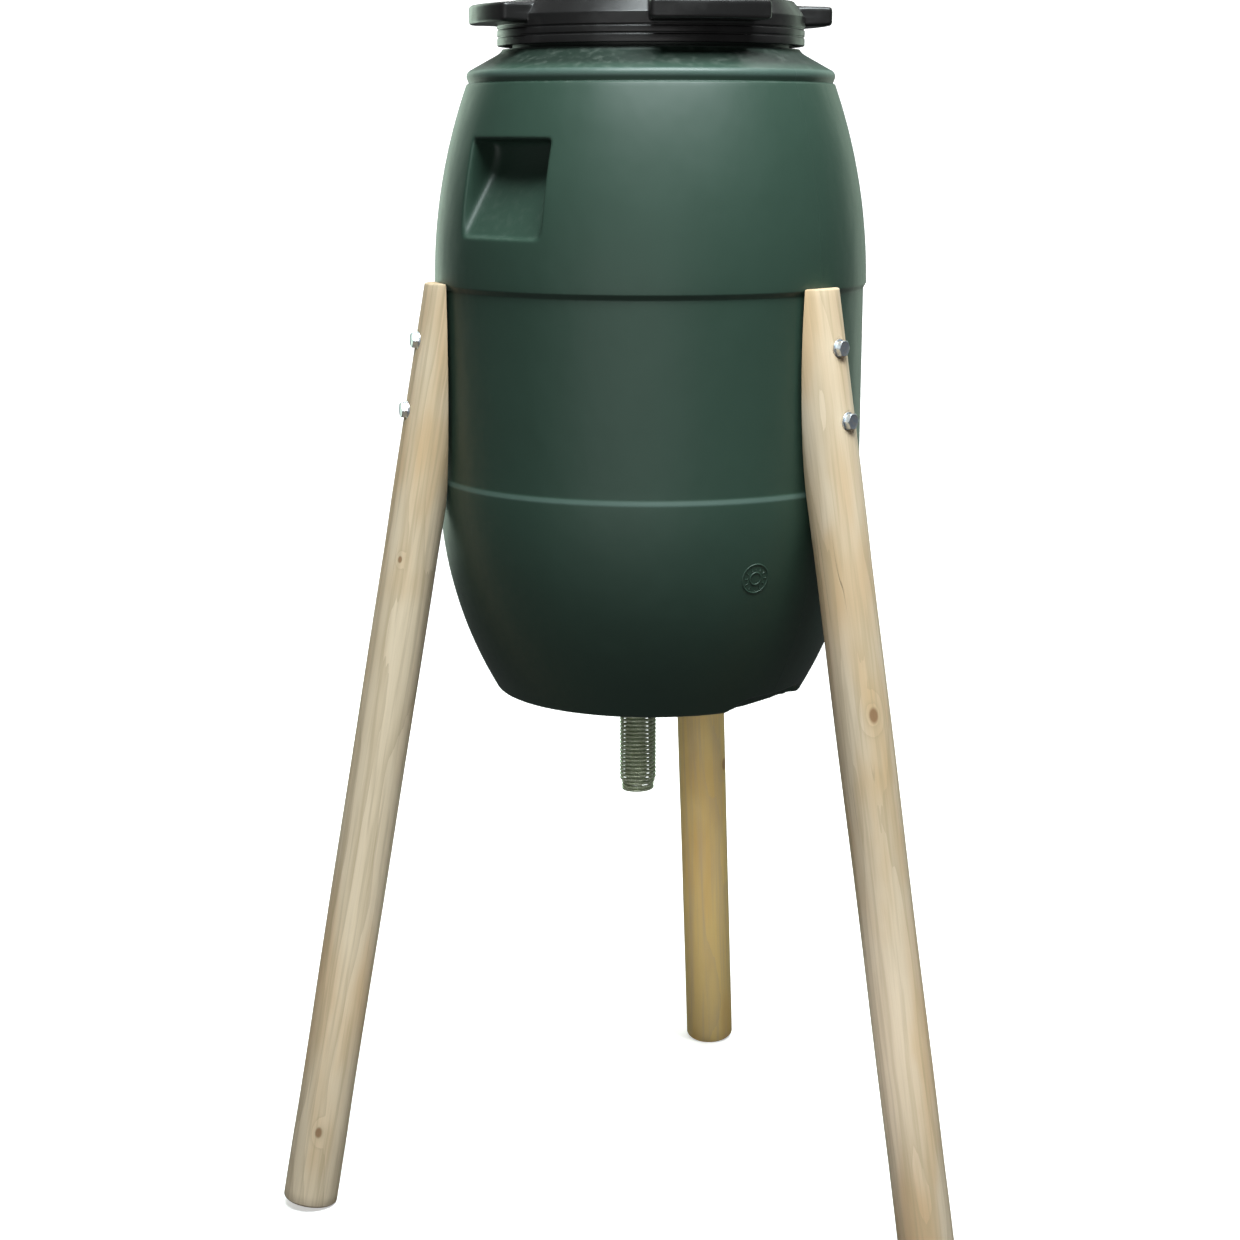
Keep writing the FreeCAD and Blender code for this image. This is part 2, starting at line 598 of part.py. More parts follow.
def make_bush_nut():
    """Hexagonal plastic nut that clamps the bush to the barrel's base."""
    nut = hexagon(2 * (BUSH_R + BUSH_NUT_WALL), BUSH_NUT_HEIGHT, BUSH_R + BUSH_NUT_GAP, False)
    nut.rotate(ORIGIN, Vector(0, 1, 0), -90)
    nut.translate(Vector(0, 0, BASE_FLOOR_Z))
    return nut


def make_hanger_pin():
    """Steel pin across the bush, which the spring's loop hangs on."""
    half = BUSH_R + PIN_POKE
    pin = Part.makeCylinder(PIN_R, 2 * half, Vector(-half, 0, PIN_Z), Vector(1, 0, 0))
    return pin.makeChamfer(PIN_R / 4, [e for e in pin.Edges if e.Curve.TypeId == "Part::GeomCircle"])


def make_feed_spring():
    """Close-coiled spring as a sleeve, with narrower last turns and a loop round the hanger pin."""
    tip_z = SPRING_LOW_Z + SPRING_TIP_LENGTH
    bore_r = SPRING_R - 2 * WIRE_R
    tip_bore_r = SPRING_TIP_R - 2 * WIRE_R
    coil = revolve(polygon([
        (tip_bore_r, SPRING_LOW_Z),
        (SPRING_TIP_R, SPRING_LOW_Z),
        (SPRING_TIP_R, tip_z),
        (SPRING_R, tip_z + 2 * SPRING_TIP_IN),
        (SPRING_R, COIL_TOP_Z),
        (bore_r, COIL_TOP_Z),
        (bore_r, tip_z + 2 * SPRING_TIP_IN),
        (tip_bore_r, tip_z),
    ]))
    half_span = SPRING_R - WIRE_R
    bar_z = COIL_TOP_Z - BAR_DROP
    bar = Part.makeCylinder(WIRE_R, 2 * half_span, Vector(0, -half_span, bar_z), Vector(0, 1, 0))
    stem = Part.makeCylinder(WIRE_R, LOOP_Z - LOOP_MID_R - bar_z, Vector(0, 0, bar_z))
    loop = Part.makeTorus(LOOP_MID_R, WIRE_R, Vector(0, 0, LOOP_Z), Vector(1, 0, 0))
    return one_solid(coil.fuse([bar, stem, loop]))


# ---------------------------------------------------------------- placing and writing
def side_reach(azimuth, toward):
    """How far a foot's end disc reaches from the barrel's axis along a unit direction."""
    out = direction(azimuth)
    pole_axis = out * math.sin(SPLAY) - AXIS * math.cos(SPLAY)
    middle = out * FOOT_R
    above = math.sqrt(1 - toward.dot(pole_axis) ** 2)
    lift = POLE_R - FOOT_CHAMFER
    square = middle.dot(toward) + lift * above
    raised = (out * (FOOT_R - FOOT_CHAMFER * math.sin(SPLAY))).dot(toward) + POLE_R * above
    return max(square, raised)


back_reach = side_reach(LEG_AZIMUTHS["back"], Vector(0, 1, 0))
front_reach = max(BELLY_R, side_reach(LEG_AZIMUTHS["left"], Vector(0, -1, 0)))
AXIS_Y = (front_reach - back_reach) / 2


def write(name, solids):
    """Place the solids of one piece, say what they are, and write them to a file."""
    placed = []
    for solid in solids:
        moved = solid.copy()
        moved.translate(Vector(0, AXIS_Y, 0))
        placed.append(moved)
    shape = placed[0] if len(placed) == 1 else Part.makeCompound(placed)
    box = shape.BoundBox
    volume = sum(s.Volume for s in placed) / 1000
    valid = all(s.isValid() for s in placed)
    print(f"{name:20s} solids {len(placed)} valid {valid} volume {volume:9.2f} cm3 "
          f"x {box.XMin:7.1f} {box.XMax:7.1f}  y {box.YMin:7.1f} {box.YMax:7.1f}  "
          f"z {box.ZMin:7.1f} {box.ZMax:7.1f}")
    shape.exportStep(f"parts/{name}.step")


os.makedirs("parts", exist_ok=True)
print(f"barrel axis at y = {AXIS_Y:.3f}")
write("barrel", [make_barrel()])
write("lid_ring", [make_lid_ring()])
write("inner_lid", [make_inner_lid()])
write("lid_seal", [make_lid_seal()])
leg = make_leg()
fasteners = {
    "bolts": make_bolt,
    "outer_washers": make_outer_washer,
    "inner_washers": make_inner_washer,
    "nuts": make_nut,
}
for side, azimuth in LEG_AZIMUTHS.items():
    write(f"leg_{side}", [turn_to(leg, azimuth)])
    for name, make in fasteners.items():
        write(f"{name}_{side}", [turn_to(make(z), azimuth) for z in BOLT_Z.values()])
for name, make in {
    "spring_bush": make_bush,
    "bush_nut": make_bush_nut,
    "hanger_pin": make_hanger_pin,
    "feed_spring": make_feed_spring,
}.items():
    write(name, [make().translated(Vector(SPRING_X, SPRING_Y, 0))])
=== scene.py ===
# %% [markdown]
# # A free-standing grain feeder, finished in Blender
# The real feeder is a blow-moulded green barrel with a black screw lid, bolted between three peeled
# pine poles, with a coil spring under its base. The CAD frame already holds every piece at its real
# size and place. This lesson keeps the frame's places and builds finer meshes and finishes on them.

import json
import math

import bmesh
import bpy
import numpy as np
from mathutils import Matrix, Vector


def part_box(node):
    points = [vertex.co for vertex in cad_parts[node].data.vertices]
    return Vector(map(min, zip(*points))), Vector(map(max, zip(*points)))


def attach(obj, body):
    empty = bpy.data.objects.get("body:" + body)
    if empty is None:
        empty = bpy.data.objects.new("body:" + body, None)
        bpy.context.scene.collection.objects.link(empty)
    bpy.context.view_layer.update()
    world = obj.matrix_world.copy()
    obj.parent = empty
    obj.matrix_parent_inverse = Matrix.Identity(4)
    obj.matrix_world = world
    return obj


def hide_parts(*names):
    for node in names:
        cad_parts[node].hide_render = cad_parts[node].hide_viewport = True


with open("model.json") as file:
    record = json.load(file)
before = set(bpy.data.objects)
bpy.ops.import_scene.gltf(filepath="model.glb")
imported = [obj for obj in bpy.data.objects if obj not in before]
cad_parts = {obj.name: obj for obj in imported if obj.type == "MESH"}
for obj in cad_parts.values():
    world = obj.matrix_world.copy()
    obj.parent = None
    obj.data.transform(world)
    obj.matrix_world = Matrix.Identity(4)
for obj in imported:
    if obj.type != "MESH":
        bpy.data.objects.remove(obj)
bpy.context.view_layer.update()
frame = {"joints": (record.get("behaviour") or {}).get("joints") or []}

# %% [markdown]
# ## The places that everything hangs on
# A piece goes where the frame says. The barrel's box gives its upright axis, its foot, its rim and its
# widest radius; the spring's joint gives the pin. Sizes that a box can't show, such as a wall or a
# rounding, are named here in metres, as they are on the drawing.

# %% Places and shared sizes
MM = 0.001
barrel_low, barrel_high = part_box("barrel")
AXIS_X = (barrel_low.x + barrel_high.x) / 2
AXIS_Y = (barrel_low.y + barrel_high.y) / 2
FOOT_Z = barrel_low.z
RIM_Z = barrel_high.z
BELLY_R = (barrel_high.x - barrel_low.x) / 2
pin_joint = next(j for j in frame["joints"] if j["name"] == "spring_swing")
PIN_Z = pin_joint["pos_m"][2]
WALL = 3 * MM
LEG_AZIMUTHS = {"left": -60.0, "right": 60.0, "back": 180.0}
bush_low, bush_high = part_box("spring_bush")
SPRING_X = (bush_low.x + bush_high.x) / 2
SPRING_Y = (bush_low.y + bush_high.y) / 2
print(f"axis at y {AXIS_Y:.4f}, foot {FOOT_Z:.3f}, rim {RIM_Z:.3f}, belly radius {BELLY_R:.4f}")

# %% [markdown]
# ## The camera
# A tall thing is best seen from far away through a long lens, so that its verticals stay nearly
# straight. The camera stands 2.27 m from the barrel's axis, a little to the right of the front, at
# 1.01 m, and looks down by eleven and a half degrees. The lid's top lies just outside the frame.

# %% Camera
CAMERA_AZIMUTH = 11.76
CAMERA_DISTANCE = 2.265
CAMERA_HEIGHT = 1.0112
CAMERA_PITCH = 11.53
CAMERA_TURN = -0.71
CAMERA_LENS = 70.15
CAMERA_SENSOR = 36.0


def heading(azimuth):
    """Level unit vector that points from the barrel's axis to an azimuth; 0 is the front."""
    turn = math.radians(azimuth)
    return Vector((math.sin(turn), -math.cos(turn), 0))


def add_object(name, data):
    """Puts new data in the scene as an object."""
    made = bpy.data.objects.new(name, data)
    bpy.context.scene.collection.objects.link(made)
    return made


camera_data = bpy.data.cameras.new("camera")
camera_data.lens = CAMERA_LENS
camera_data.sensor_width = CAMERA_SENSOR
camera = add_object("camera", camera_data)
camera.location = Vector((AXIS_X, AXIS_Y, CAMERA_HEIGHT)) + heading(CAMERA_AZIMUTH) * CAMERA_DISTANCE
camera.rotation_euler = (math.radians(90 - CAMERA_PITCH), 0, math.radians(CAMERA_AZIMUTH - CAMERA_TURN))
bpy.context.scene.camera = camera
print("camera at", [round(x, 3) for x in camera.location])

# %% [markdown]
# ## The studio
# The floor and the wall behind it are one sheet with a large bend, so no horizon line shows behind
# the feeder when it is seen from the front.

# %% Floor and backdrop
FLOOR_HALF = 4.5
SWEEP_R = 1.2
SWEEP_START = 2.2
SWEEP_STEPS = 24
SHEET_FRONT = -6.0           # towards the camera
WALL_TOP = 4.5


def stage_profile():
    """Side view of the floor, its bend and the wall: (distance to the back, height) pairs."""
    points = [(SHEET_FRONT, 0.0), (SWEEP_START, 0.0)]
    for step in range(1, SWEEP_STEPS + 1):
        turn = math.pi / 2 * step / SWEEP_STEPS
        points.append((SWEEP_START + SWEEP_R * math.sin(turn), SWEEP_R * (1 - math.cos(turn))))
    return points + [(SWEEP_START + SWEEP_R, WALL_TOP)]


def smooth_mesh(name, verts, faces, sharp=None):
    """Smooth-shaded mesh; edges that bend by more than sharp stay crisp."""
    mesh = bpy.data.meshes.new(name)
    mesh.from_pydata(verts, [], faces)
    mesh.update()
    mesh.shade_smooth()
    if sharp is not None:
        mesh.set_sharp_from_angle(angle=sharp)
    return mesh


side_view = stage_profile()
verts = [(x, y, z) for y, z in side_view for x in (-FLOOR_HALF, FLOOR_HALF)]
faces = [(2 * i, 2 * i + 1, 2 * i + 3, 2 * i + 2) for i in range(len(side_view) - 1)]
floor = add_object("floor", smooth_mesh("floor", verts, faces))
floor.rotation_euler.z = math.radians(CAMERA_AZIMUTH)
floor.location = (AXIS_X, AXIS_Y, 0)
floor.visible_diffuse = False
floor.visible_glossy = False
print("floor points:", len(verts))

# %% [markdown]
# ## The surround
# The sheet ends a few metres away, and from the side or the back the empty world would show past it. A
# large ball with a plain pale glow closes the room, so the feeder stands before the same tone from all
# sides. Only the camera sees the ball: it neither lights the feeder nor shades it.

# %% Pale surround
SURROUND_R = 14.0
SURROUND_TONE = (0.72, 0.72, 0.715)

ball = bmesh.new()
bmesh.ops.create_uvsphere(ball, u_segments=48, v_segments=24, radius=SURROUND_R)
surround_mesh = bpy.data.meshes.new("surround")
ball.to_mesh(surround_mesh)
ball.free()
surround = add_object("surround", surround_mesh)
for flag in ("visible_diffuse", "visible_glossy", "visible_transmission", "visible_shadow"):
    setattr(surround, flag, False)
print("surround radius:", SURROUND_R)

# %% [markdown]
# ## The lamps
# A broad soft box over the front gives the barrel its pale upper face, and two tall soft boxes with a
# green tint give the long edge lights. The light from below stays weak, because the real barrel darkens
# towards its foot, and one small narrow lamp reaches the back pole.

# %% Lights
TARGET = Vector((AXIS_X, AXIS_Y, 0.80))
LOW_TARGET = Vector((AXIS_X, AXIS_Y, 0.35))
BACK_LEG_TARGET = Vector((0, 0.2, 0.2))
BACKDROP_TARGET = Vector((0, 2.6, 0.6))
BACK_LEG_SPREAD = math.radians(26)
WORLD_LIGHT, WORLD_TINT = 0.10, (0.95, 0.97, 1.0, 1)


def soft_box(name, azimuth, distance, height, size, power, target=TARGET, tint=(1, 1, 1)):
    """Rectangular studio light that faces the barrel."""
    data = bpy.data.lights.new(name, "AREA")
    data.shape = "RECTANGLE"
    data.size, data.size_y = size
    data.energy = power
    data.color = tint
    light = add_object(name, data)
    light.location = Vector((AXIS_X, AXIS_Y, height)) + heading(azimuth + CAMERA_AZIMUTH) * distance
    light.rotation_euler = (light.location - target).to_track_quat("Z", "Y").to_euler()
    light.visible_camera = False
    return light


soft_box("key", 16, 1.2, 3.15, (2.3, 0.9), 168, tint=(0.91, 1.0, 1.02))
soft_box("top", 180, 0.3, 2.8, (1.6, 1.2), 2)
soft_box("front_fill", -10, 3.2, 0.6, (3.4, 0.8), 14, target=LOW_TARGET)
soft_box("left_rim", -148, 2.3, 1.1, (0.9, 2.0), 17, tint=(0.78, 1.0, 0.82))
soft_box("right_rim", 144, 2.3, 1.1, (0.9, 2.0), 8, tint=(0.78, 1.0, 0.80))
back_leg_light = soft_box("back_leg", -6, 1.0, 0.15, (0.4, 0.2), 0.27, target=BACK_LEG_TARGET)
back_leg_light.data.spread = BACK_LEG_SPREAD
soft_box("backdrop_wash", 180, 1.6, 2.9, (3.5, 0.6), 60, target=BACKDROP_TARGET)

world = bpy.data.worlds.new("studio")
bpy.context.scene.world = world
world.use_nodes = True
world.node_tree.nodes["Background"].inputs["Color"].default_value = WORLD_TINT
world.node_tree.nodes["Background"].inputs["Strength"].default_value = WORLD_LIGHT
bpy.context.scene.view_settings.view_transform = "Standard"

# %% [markdown]
# ## Shader maths as Python
# A finish is a small formula: how far from the pith, how close to a knot, how much grime. Joining Math
# nodes by hand hides the formula, so a wrapped socket takes the usual operators and adds the nodes by
# itself. Every other node comes from one method, which sets the node's settings before its sockets.


# %% A socket that can be calculated with
class Wire:
    """One output socket; arithmetic with it adds Math nodes to its finish."""

    def __init__(self, finish, socket):
        self.finish = finish
        self.socket = socket

    def math(self, operation, *values):
        return self.finish.node("Math", {"operation": operation}, dict(enumerate(values)))

    def __gt__(self, other):
        return self.math("GREATER_THAN", self, other)

    def __lt__(self, other):
        return self.math("LESS_THAN", self, other)

    def root(self):
        return self.math("SQRT", self)

    def fraction(self):
        return self.math("FRACT", self)

    def size(self):
        return self.math("ABSOLUTE", self)

    def larger(self, other):
        return self.math("MAXIMUM", self, other)

    def fade(self, start, end):
        """1 at start and beyond, 0 at end, and smooth between them."""
        settings = {"interpolation_type": "SMOOTHSTEP"}
        sockets = {"Value": self, "From Min": end, "From Max": start, "To Min": 0.0, "To Max": 1.0}
        return self.finish.node("MapRange", settings, sockets)


def operator_pair(operation):
    """An operator and its reflected form, such as mask - 1 and 1 - mask."""
    return (lambda wire, other: wire.math(operation, wire, other),
            lambda wire, other: wire.math(operation, other, wire))


OPERATORS = {"add": "ADD", "sub": "SUBTRACT", "mul": "MULTIPLY", "truediv": "DIVIDE", "pow": "POWER"}
for word, operation in OPERATORS.items():
    plain, reflected = operator_pair(operation)
    setattr(Wire, f"__{word}__", plain)
    setattr(Wire, f"__r{word}__", reflected)
print("operators:", list(OPERATORS))


# %% A finish and its nodes
class Finish:
    """A material in the making, with one method that adds any node."""

    def __init__(self, name):
        self.material = bpy.data.materials.new(name)
        self.material.use_nodes = True
        self.tree = self.material.node_tree
        self.shader = self.tree.nodes["Principled BSDF"]
        self.here = self.node("TexCoord", output="Object")

    def node(self, kind, settings=None, sockets=None, output=0):
        """Adds a node: its settings first, then the values or links of its sockets."""
        made = self.tree.nodes.new("ShaderNode" + kind)
        for name, value in (settings or {}).items():
            if name == "stops":
                self.set_stops(made.color_ramp, value)
            else:
                setattr(made, name, value)
        for key, value in (sockets or {}).items():
            self.feed(made.inputs[key], value)
        return Wire(self, made.outputs[output])

    def set_stops(self, ramp, stops):
        """Gives a colour ramp its (place, colour) stops."""
        while len(ramp.elements) < len(stops):
            ramp.elements.new(0.5)
        for element, (place, colour) in zip(ramp.elements, stops):
            element.position = place
            element.color = (*colour, 1)

    def feed(self, socket, value):
        """Links a wire to a socket, or sets the socket's own value."""
        if isinstance(value, Wire):
            self.tree.links.new(value.socket, socket)
        elif isinstance(value, (tuple, list)) and socket.type == "RGBA":
            socket.default_value = (*value, 1)
        else:
            socket.default_value = value

    def place(self, scale=(1, 1, 1)):
        """Coordinates of the piece itself, stretched along its axes."""
        return self.node("VectorMath", {"operation": "MULTIPLY"}, {0: self.here, 1: scale})

    def follow(self, origin, axes):
        """Makes every texture follow an origin and three axes of its own."""
        away = self.node("VectorMath", {"operation": "SUBTRACT"}, {0: self.here, 1: origin})
        reach = [self.node("VectorMath", {"operation": "DOT_PRODUCT"}, {0: away, 1: axis}, "Value")
                 for axis in axes]
        self.here = self.node("CombineXYZ", sockets=dict(enumerate(reach)))

    def split(self, vector):
        """The three numbers of a vector."""
        parts = self.node("SeparateXYZ", sockets={0: vector})
        return [Wire(self, socket) for socket in parts.socket.node.outputs]

    def noise(self, scale, detail=2.0, stretch=(1, 1, 1)):
        """Cloudy value from 0 to 1; scale is in clouds for each metre."""
        sockets = {"Vector": self.place(stretch), "Scale": scale, "Detail": detail, "Roughness": 0.5}
        return self.node("TexNoise", sockets=sockets)

    def mix(self, amount, first, second):
        """Colour between two colours."""
        return self.node("Mix", {"data_type": "RGBA"}, {0: amount, 6: first, 7: second}, output=2)

    def bump(self, height):
        """Normal of a surface that rises by height, in metres."""
        return self.node("Bump", sockets={"Height": height, "Distance": 1.0, "Strength": 1.0})

    def done(self, **sockets):
        """Feeds the surface shader, such as base_color or roughness."""
        for name, value in sockets.items():
            self.feed(self.shader.inputs[name.replace("_", " ").title().replace("Ior", "IOR")], value)
        return self.material


print("shader tools ready")

# %% [markdown]
# ## Green polyethylene
# The barrel is blown high-density polyethylene: dark green all through, satin, with a faint orange
# peel and soft waves where the hot wall cooled unevenly. A noise for each size of unevenness feeds the
# bump and the roughness, and a little pale dust lies where the wall looks up. The bead and the ledge
# get a paler band, a painted highlight for the light their rounds catch, and the slope under the lid
# is painted darker, a painted shade for the lid's shadow.

# %% Barrel finish
GREEN = (0.029, 0.061, 0.043)
GREEN_DEEP = (0.022, 0.048, 0.033)
DUST = (0.20, 0.24, 0.20)
# Paler tone painted on the bead and the ledge as their highlight.
EDGE_HIGHLIGHT_TONE = (0.085, 0.135, 0.115)
# Dark tone painted under the lid as its shade.
LID_SHADE_TONE = (0.010, 0.020, 0.014)
BEAD_PLACE, BEAD_REACH = 0.5695, (0.0025, 0.0045)       # metres over the foot, and where the painted highlight fades
LEDGE_PLACE, LEDGE_REACH = 0.2032, (0.0012, 0.0032)
# Heights over the foot where the painted shade under the lid is full, and where it starts.
LID_SHADE_FULL, LID_SHADE_START = 0.580, 0.5735
EDGE_HIGHLIGHT_SHARE, LID_SHADE_SHARE, DUST_SHARE = 0.55, 0.95, 0.12


def barrel_finish():
    """Satin blown plastic with cooling waves, fine grain and a trace of dust."""
    f = Finish("green_polyethylene")
    clouds = f.noise(9, 4)
    streaks = f.noise(30, 3, (1, 1, 0.08))
    colour = f.mix(clouds * 0.7 + streaks * 0.3, GREEN_DEEP, GREEN)
    facing = f.node("NewGeometry", output="Normal")
    up = f.split(facing)[2]
    height = f.split(f.here)[2] - FOOT_Z
    bead = (height - BEAD_PLACE).size().fade(*BEAD_REACH)
    ledge = (height - LEDGE_PLACE).size().fade(*LEDGE_REACH)
    # Painted highlight: the bead and the ledge get a paler band where their rounds catch the light.
    colour = f.mix(bead.larger(ledge) * EDGE_HIGHLIGHT_SHARE, colour, EDGE_HIGHLIGHT_TONE)
    # Painted shade: the wall darkens from the top of the bead upwards, standing in for the shadow of the
    # lid and its lugs.
    colour = f.mix(height.fade(LID_SHADE_FULL, LID_SHADE_START) * LID_SHADE_SHARE, colour, LID_SHADE_TONE)
    dust = up.fade(0.9, 0.25) * f.noise(140, 5).fade(0.75, 0.45) * DUST_SHARE
    colour = f.mix(dust, colour, DUST)
    rough = 0.38 + clouds * 0.08 + f.noise(260, 3) * 0.06 + dust * 0.8
    peel = f.noise(1500, 2)
    waves = f.noise(26, 2, (1, 1, 0.6))
    relief = waves * 0.0009 + peel * 0.00003
    return f.done(base_color=colour, roughness=rough, normal=f.bump(relief), ior=1.5)


GREEN_PLASTIC = barrel_finish()
print("finish:", GREEN_PLASTIC.name)

# %% [markdown]
# ## Black mouldings
# The lid ring, the inner lid and the spring's bush are injection-moulded, so they are a little more
# even than the barrel: near-black, a fine spark-eroded texture, and greyer where hands rub them.


# %% Lid and bush finish
def black_finish(name, tone, rough, wear):
    """Moulded black plastic with a fine even texture and rubbed patches."""
    f = Finish(name)
    rubbed = f.noise(45, 4).fade(0.70, 0.48) * wear
    colour = f.mix(rubbed, tone, tuple(3.0 * c for c in tone))
    fine = f.noise(2600, 2)
    flow = f.noise(60, 3, (1, 1, 0.3))
    return f.done(base_color=colour, roughness=rough + flow * 0.10 + rubbed * 0.25,
                  normal=f.bump(fine * 0.00004 + flow * 0.00006), ior=1.5)


LID_BLACK = black_finish("lid_black", (0.0105, 0.0098, 0.0096), 0.30, 0.25)
BUSH_BLACK = black_finish("bush_black", (0.026, 0.026, 0.027), 0.42, 0.25)


def seal_finish():
    """Matt sponge rubber with open pores."""
    f = Finish("seal_rubber")
    pores = f.node("TexVoronoi", sockets={"Vector": f.place(), "Scale": 1400.0})
    colour = f.mix(pores, (0.03, 0.03, 0.03), (0.07, 0.07, 0.07))
    return f.done(base_color=colour, roughness=0.85, normal=f.bump(pores * 0.0002))


SEAL_RUBBER = seal_finish()
print("finishes:", LID_BLACK.name, BUSH_BLACK.name, SEAL_RUBBER.name)

# %% [markdown]
# ## Peeled pine
# A round pole shows its growth rings on both ends, and along its side where the lathe or the peeler
# cuts through them. A flat picture of grain can't agree on both, so the rings are worked out in
# space: distance from a wandering pith, cut into thin dark late wood and broad pale early wood. A knot
# is a branch, a ray out of the pith, and it bends the rings round itself.

# %% Pine finish
RING_PITCH = 2.3 * MM
LATE_WOOD = (0.44, 0.335, 0.20)
KNOT_HEART = (0.26, 0.135, 0.060)
CHECK_DARK = (0.20, 0.15, 0.09)
PITH_WANDER = 0.017         # metres that the pith strays
RING_RIPPLE = 0.004         # metres that a ring is uneven
GRAIN_DEPTH = 0.42          # how strongly streaks, late wood and fibres darken the pole
BLUSH = (0.90, 0.76, 0.60)  # warm patches, as shares of the pale tone
PITH_STRETCH = (0.01, 0.01, 1)
KNOT_RISE = 0.30            # how much a branch climbs on its way out of the pith


def knot_field(here, height, turn, size):
    """Distance of every point from one branch's middle line, and 1 on the branch's side."""
    x, y, z = here
    c, s = math.cos(math.radians(turn)), math.sin(math.radians(turn))
    along = x * c + y * s
    across = y * c - x * s
    climb = (z - height - along * KNOT_RISE) * 0.62
    distance = (across * across + climb * climb).root()
    return distance / size, along > 0.004


def pine_finish(name, wood_frame, pale, warm, pith, knots, seed):
    """Peeled pine: rings round a wandering pith, knots, fibres, drying checks and soft stains."""
    f = Finish(name)
    f.follow(*wood_frame)
    x, y, z = f.split(f.place())
    drift = f.node("TexNoise", sockets={"Vector": f.place(PITH_STRETCH), "Scale": 2.6, "Detail": 1.0})
    shifted = f.node("VectorMath", {"operation": "ADD"}, {0: f.place(PITH_STRETCH), 1: (seed, 0, 0)})
    bend = f.node("TexNoise", sockets={"Vector": shifted, "Scale": 2.1, "Detail": 1.0})
    from_x = x - (drift - 0.5) * PITH_WANDER - pith[0]
    from_y = y - (bend - 0.5) * PITH_WANDER - pith[1]
    ripple = f.noise(34, 3, (1, 1, 0.10))
    radius = (from_x * from_x + from_y * from_y).root() + (ripple - 0.5) * RING_RIPPLE
    knot = None
    for height, turn, size in knots:
        away, side = knot_field((x, y, z), height, turn, size)
        radius = radius + away.fade(0.4, 3.4) * side * size * 0.75
        spot = away.fade(0.60, 1.15) * side
        knot = spot if knot is None else knot.larger(spot)
    late = (radius / RING_PITCH).fraction() ** 3.0
    fibre = f.noise(1300, 3, (1, 1, 0.018))
    flecks = f.noise(420, 4, (1, 1, 0.03))
    broad = f.noise(240, 3, (1, 1, 0.03))
    stain = f.noise(14 + seed, 3, (1, 1, 0.30))
    blush = f.noise(16, 2, (1, 1, 0.25))
    colour = f.mix(stain.fade(0.66, 0.44), pale, warm)
    warmed = tuple(tone * share for tone, share in zip(pale, BLUSH))
    colour = f.mix(blush.fade(0.64, 0.48) * 0.75, colour, warmed)
    colour = f.mix(broad.fade(0.66, 0.46) * GRAIN_DEPTH, colour, LATE_WOOD)
    colour = f.mix(late * GRAIN_DEPTH * (0.45 + flecks), colour, LATE_WOOD)
    colour = f.mix((fibre - 0.35) * GRAIN_DEPTH, colour, LATE_WOOD)
    lines = (f.noise(60, 1, (1, 1, 0.035)) - 0.5).size().fade(0.0, 0.006)
    checks = lines * f.noise(11, 1, (1, 1, 0.5)).fade(0.66, 0.56)
    colour = f.mix(checks * 0.6, colour, CHECK_DARK)
    colour = f.mix(knot * 0.85, colour, KNOT_HEART)
    relief = fibre * 0.00012 + late * 0.00007 + flecks * 0.00008 - checks * 0.0003 - knot * 0.0001
    return f.done(base_color=colour, roughness=0.58 + fibre * 0.16 + late * 0.06,
                  normal=f.bump(relief), ior=1.45)


# For each pole: its pale and warm tones, where its pith lies, its knots as (metres up the pole, side in
# degrees, size), and the shift of its patterns.
PINES = {
    "left": ((0.78, 0.645, 0.465), (0.66, 0.465, 0.26), (0.004, -0.003),
             [(0.068, 72, 0.0036), (0.62, 55, 0.0022), (0.27, 200, 0.005)], 1.7),
    "right": ((0.71, 0.585, 0.43), (0.62, 0.44, 0.25), (-0.003, 0.004),
              [(0.495, -28, 0.0048), (0.16, 120, 0.006), (0.70, 140, 0.005)], 4.3),
    # The back pole's darker, more golden tones are painted shade: they copy how this same pine looks in the
    # barrel's shade, not a different wood.
    "back": ((0.62, 0.455, 0.17), (0.54, 0.37, 0.125), (0.002, 0.005),
             [(0.33, 260, 0.005), (0.12, 40, 0.007), (0.58, 170, 0.006)], 7.9),
}
print("pine poles:", list(PINES))

# %% [markdown]
# ## Metals
# The bolts are bright zinc plate, with a trace of blue in it and fine marks from the spanner.
# The spring is hot-dip galvanised wire, duller and blotched with zinc crystals under a weathered film,
# so it is only half a metal. The metallic value is the same all over each piece, so it is a plain
# number, and only the colour and the roughness vary.


# %% Metal finishes
def metal_finish(name, tone, tint, rough, grain):
    """Plated steel with cloudy tints and fine marks."""
    f = Finish(name)
    clouds = f.noise(grain, 3)
    marks = f.noise(grain * 8, 2, (1, 0.2, 1))
    colour = f.mix(clouds.fade(0.62, 0.42), tone, tint)
    return f.done(base_color=colour, metallic=1.0, roughness=rough + clouds * 0.14 + marks * 0.08,
                  normal=f.bump(marks * 0.00003))


ZINC = metal_finish("bright_zinc", (0.80, 0.83, 0.86), (0.68, 0.75, 0.84), 0.30, 260)
PIN_STEEL = metal_finish("drawn_steel", (0.55, 0.55, 0.54), (0.46, 0.46, 0.46), 0.28, 200)


def galvanised_finish():
    """Dull hot-dip zinc with crystals and a greenish weathered film."""
    f = Finish("galvanised_wire")
    crystals = f.node("TexVoronoi", sockets={"Vector": f.place(), "Scale": 420.0})
    film = f.noise(120, 4)
    colour = f.mix(crystals, (0.72, 0.80, 0.60), (0.48, 0.55, 0.38))
    colour = f.mix(film.fade(0.68, 0.45) * 0.6, colour, (0.40, 0.46, 0.28))
    return f.done(base_color=colour, metallic=0.5, roughness=0.40 + film * 0.2,
                  normal=f.bump(crystals * 0.00005 + film * 0.00005))


